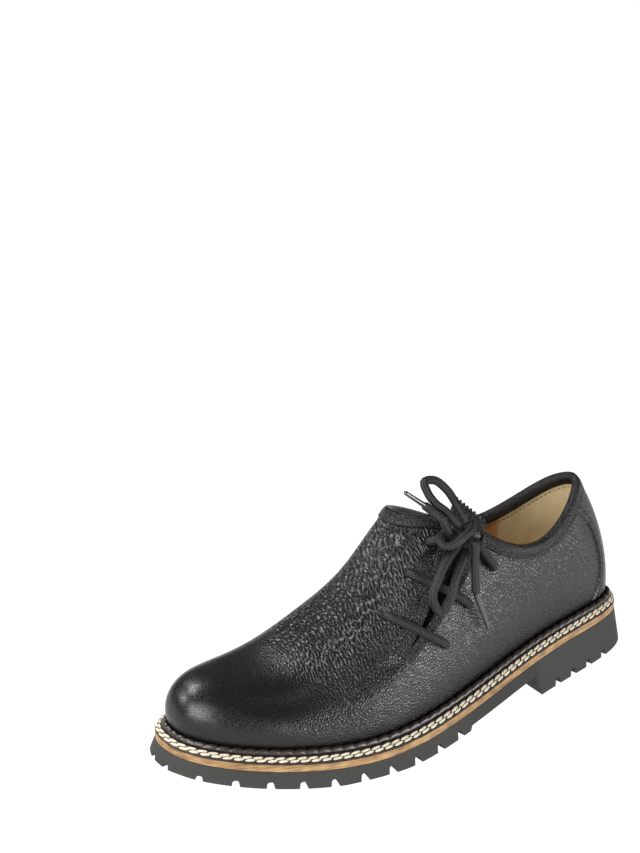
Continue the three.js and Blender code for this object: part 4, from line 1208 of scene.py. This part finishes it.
# Sole
def distance_stations(side, count, start=0.0, end=None):
    """Stations at even distances round the outline from the toe, and its length."""
    u = np.linspace(0, 1, 3001)
    walked = walk(plain_outline(side + 0 * u, u))
    at = np.linspace(start, walked[-1] if end is None else end, count)
    return np.interp(at, walked, u), walked[-1]


def station_at(side, distance):
    return float(distance_stations(side, 1, distance, distance)[0][0])


def round_sole(count):
    """Sides and stations all round the sole at even distances."""
    outer = distance_stations(1, count)[0]
    inner = distance_stations(-1, count)[0]
    side = np.concatenate([np.ones(count), -np.ones(count - 2)])
    return side, np.concatenate([outer, inner[1:-1][::-1]])


def margin(u):
    return MARGIN * margin_share(0.5 + np.cos(np.pi * u) / 2)


def sole_ring(count, profile):
    """Loop round the sole. profile rows are arrays of inset and height over the seat."""
    side, u = round_sole(count)
    rings = []
    for inset, height in profile(side, u):
        flat = outline(side, u, inset + 0 * u)
        rings.append(np.concatenate([flat, (seat(flat[:, 0]) + height)[:, None]], 1))
    return loop(np.stack(rings, 1))


def plate(name, material_, top_inset, bottom_inset, top, bottom, stations, body="root"):
    """Solid between two heights over the width of the sole."""
    columns = 9
    rings = []
    for inset, height in ((top_inset, top), (bottom_inset, bottom)):
        outer, inner = (outline(side, stations, inset + 0 * stations) for side in (1, -1))
        part = np.linspace(0, 1, columns)[None, :, None]
        flat = outer[:, None] * (1 - part) + inner[:, None] * part
        rings.append(np.concatenate([flat, height(flat[..., 0])[..., None]], -1))
    points = np.stack(rings).reshape(-1, 3)
    points, faces = weld(points, slab_faces(len(stations), columns))
    return outward(make(name, points, faces, [material_] if material_ else [], angle=35, body=body))


def midsole_bottom(x):
    return seat(x) - MIDSOLE / 2


def rubber_top(x):
    return midsole_bottom(x) - GAP


def rubber_bottom(x):
    x = np.asarray(x, float)
    shank = rubber_top(x) - SHANK_RUBBER
    foot = np.maximum(rubber_top(x) - RUBBER_DEPTH, 0)
    slope = (rubber_top(-BREAST_TOP) - SHANK_RUBBER) * (x + BREAST_BOTTOM) / (BREAST_BOTTOM - BREAST_TOP)
    bottom = np.where(x <= -FOREFOOT_END + 1e-6, shank, foot)
    bottom = np.where(x < -BREAST_TOP, slope, bottom)
    return np.where(x <= -BREAST_BOTTOM, 0, bottom)


def make_outsole():
    even = distance_stations(1, 150)[0]
    breaks = [station(x) for x in (-BREAST_BOTTOM, -BREAST_TOP, -FOREFOOT_END, -FOREFOOT_END + 1)]
    apart = [u for u in even if min(abs(u - b) for b in breaks) > 0.002]
    stations = np.sort(np.concatenate([apart, breaks]))
    sole = plate("outsole_rubber", RUBBER, 0, -RUBBER_FLARE, rubber_top, rubber_bottom, stations, body=None)
    cutters = []
    for side in (1, -1):
        round_ = distance_stations(side, 2)[1]
        places = [FIRST_LUG + LUG_PITCH * i - LUG_PITCH_LOSS * i * i for i in range(FRONT_LUGS)]
        places += [round_ - FIRST_HEEL_LUG - HEEL_LUG_PITCH * (i + 1) for i in range(HEEL_LUGS)]
        for place in places:
            u = station_at(side, place)
            ends = [outline(side, u, inset) for inset in (-RUBBER_FLARE - 2.0, LUG_LENGTH + GROOVE_WIDTH / 2)]
            run = unit(ends[1] - ends[0])
            sideways = np.array([-run[1], run[0]])
            bottom = float(rubber_bottom(outline(side, u, LUG_LENGTH / 2)[0]))
            low, high = NOTCH_WIDTH / 2 + 0.5, NOTCH_TOP / 2
            half = [(low, -3), (high, LUG_DEPTH - 0.6), (high - 0.8, LUG_DEPTH)]
            shape = [(-low, -3), *half, *[(-a, h) for a, h in half[:0:-1]]]
            rings = [[(*(end + sideways * a), bottom + h) for a, h in shape] for end in ends]
            cutters.append(outward(make("channel", *loft(np.array(rings)), [], body=None)))
    grooves = (
        (HALF * 0.78, -FOREFOOT_END + LUG_LENGTH),
        (-BREAST_BOTTOM - LUG_LENGTH / 2, -HALF * 0.84),
    )
    groove_plates = (
        ("groove", LUG_LENGTH, 0, 0),
        ("groove_core", LUG_LENGTH + GROOVE_WIDTH, 1, 0.018),
    )
    for front, back in grooves:
        plates = []
        for name, inset, rise, shorter in groove_plates:
            stations = np.linspace(station(front) + shorter, station(back) - shorter, 30)
            top, bottom = lambda x: rubber_bottom(x) + LUG_DEPTH + rise, lambda x: -3 - rise + 0 * x
            plates.append(plate(name, None, inset, inset, top, bottom, stations, body=None))
        cutters.append(cut(plates[0], plates[1:]))
    cut(sole, cutters)
    shade(sole.data, 28, {})
    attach(sole, "root")
    stand_for(sole, "outsole")


make_outsole()

stations = distance_stations(1, 170)[0]
top = lambda x: seat(x) + MIDSOLE / 2
piece = plate("midsole_leather_edge", MIDSOLE_LEATHER, 0, 0, top, midsole_bottom, stations)
stand_for(piece, "midsole")


WELT_LOW = MIDSOLE / 2 + GAP


def welt_height(u, inset):
    """Top of the welt: a slope down to the thin edge."""
    crest = margin(u) * WELT_SLOPE
    part = np.clip((inset - GAP) / (crest - GAP), 0, 1)
    return WELT_LOW + WELT_EDGE + (WELT - WELT_EDGE) * part


def welt_profile(side, u):
    crest, inner = margin(u) * WELT_SLOPE, margin(u) + WALL - GAP / 2
    return [
        (GAP, WELT_LOW), (GAP * 0.4, WELT_LOW + WELT_EDGE / 2), (GAP, WELT_LOW + WELT_EDGE - 0.1),
        (crest, WELT_LOW + WELT), (inner, WELT_LOW + WELT), (inner, WELT_LOW),
    ]


piece = outward(make("welt_strip", *sole_ring(240, welt_profile), [WELT_LEATHER], angle=50))
stand_for(piece, "welt")


def welt_line(part):
    """Line on the welt's slope at a share of its width, and the slope's normals."""
    side, u = round_sole(420)
    rows = []
    for share_ in (part - 0.1, part, part + 0.1):
        inset = GAP + (margin(u) * WELT_SLOPE - GAP) * share_
        flat = outline(side, u, inset)
        rows.append(np.concatenate([flat, (seat(flat[:, 0]) + welt_height(u, inset))[:, None]], 1))
    low, line, high = (np.vstack([row, row[:1]]) for row in rows)
    normal = unit(np.cross(unit(np.gradient(line, axis=0)), high - low))
    normal *= np.sign(normal[:, 2:])
    return line + normal * 0.2, normal


for k, part in enumerate((0.3, 0.7)):
    name, size = f"welt_stitches_{k + 1}", (5.7, 1.6, 1.5)
    stitches(name, welt_line(part), 6.0, size, THREAD, turn=0.14, phase=k / 2)


def bead_profile(side, u):
    flat = plain_outline(side, u)
    walked = walk(np.vstack([flat, flat[:1]]))
    bumps = round(walked[-1] / BEAD_PITCH)
    phase = walked[:-1] / walked[-1] * bumps
    ground = LIFT + GAP * 0.3
    rings = []
    for angle in np.linspace(0, np.pi, 10):
        local = phase + 0.22 * math.cos(angle)
        swell = 0.62 + 0.38 * np.abs(np.sin(np.pi * local)) ** 0.5
        inset = margin(u) - 0.9 - 1.55 - math.cos(angle) * 1.75 * (0.75 + 0.25 * swell)
        height = ground + 3.1 * math.sin(angle) * swell
        rings.append((inset, height))
    return [*rings, (margin(u) - 0.9, ground - 0.1), (margin(u) - 4.0, ground - 0.1)]


piece = outward(make("welt_bead_knurled", *sole_ring(560, bead_profile), [BEAD_LEATHER], angle=70))
stand_for(piece, "welt_bead")


def make_footbed():
    stations = distance_stations(1, 120)[0]
    columns = 31
    part = np.linspace(-1, 1, columns)
    inset = margin(stations) + WALL + 2 * GAP
    outer, inner = outline(1, stations, inset), outline(-1, stations, inset)
    toward_outer = ((1 - part) / 2)[None, :, None]
    flat = inner[:, None] * (1 - toward_outer) + outer[:, None] * toward_outer
    base = seat(flat[..., 0]) + MIDSOLE / 2 + GAP
    cup = 1.3 * np.abs(part)[None] ** 3 * smooth(20, -80, flat[..., 0])
    edge = np.sqrt(1 - (1 - np.clip((1 - np.abs(part)) / 0.06, 0, 1)) ** 2)[None]
    top = np.concatenate([flat, (base + INSOLE - 1.2 + cup + 1.0 * edge)[..., None]], -1).reshape(-1, 3)
    bottom = np.concatenate([flat, base[..., None]], -1).reshape(-1, 3)
    points, faces = weld(np.vstack([top, bottom]), slab_faces(len(stations), columns))
    piece = outward(make("footbed_leather", points, faces, [SOCK], angle=60))
    stand_for(piece, "insole")


make_footbed()


# Inner side seam
SIDE_SEAM = [(2.4, -0.2), (2.0, 0.12), (0.9, 0.3), (0.1, 0.5), (-0.15, 0.35), (-0.2, -0.2)]


def make_side_seam():
    u = np.linspace(station(-36), station(-14), 60)
    t = np.linspace(0.93, 0.05, 60) * collar_t(-1.0, u)
    line = on_skin(resample(rib(-1.0, u, t), 1.5))
    lay_strip("side_seam_fold", *line, 1, SIDE_SEAM)
    stitches("side_seam_stitches", shifted(*line, 1, 1.2, 0.35), 2.6, (2.0, 0.5, 0.45))


make_side_seam()


# Stage and light
LIT_POINT = np.array([0, 0, 0.05])


def make_floor():
    made, _, shader = material("floor", grey(0.1), 0.9, specular_ior_level=0.1, emission_strength=1.0)
    shader.inputs["Emission Color"].default_value = (1, 1, 1, 1)
    mesh = bpy.data.meshes.new("floor")
    mesh.from_pydata([(-12, -12, 0), (12, -12, 0), (12, 12, 0), (-12, 12, 0)], [], [(0, 1, 2, 3)])
    mesh.materials.append(made)
    obj = bpy.data.objects.new("floor", mesh)
    bpy.context.scene.collection.objects.link(obj)


def softbox(name, place, width, height, power):
    data = bpy.data.lights.new(name, "AREA")
    data.shape = "RECTANGLE"
    data.size, data.size_y, data.energy = width, height, power
    obj = bpy.data.objects.new(name, data)
    bpy.context.scene.collection.objects.link(obj)
    back = unit(np.array(place) - LIT_POINT)
    right = unit(np.cross(UP, back))
    obj.matrix_world = placed(right, np.cross(back, right), back, place)


make_floor()
world = bpy.data.worlds.new("studio")
bpy.context.scene.world = world
world.use_nodes = True
sky = world.node_tree.nodes["Background"]
sky.inputs["Color"].default_value = (1, 1, 1, 1)
sky.inputs["Strength"].default_value = 0.15
softbox("key_light", (1.14, 0.63, 0.58), 1.0, 0.8, 24)
softbox("high_light", (0.75, 0.83, 1.0), 0.6, 0.3, 1.5)
softbox("toe_light", (1.1, -0.6, 0.8), 0.6, 0.4, 9)
softbox("side_light", (-0.6, 1.13, 0.14), 1.2, 0.26, 17)
softbox("back_light", (0.4, -0.57, 1.25), 0.9, 0.5, 18)
bpy.context.scene.view_settings.view_transform = "Standard"
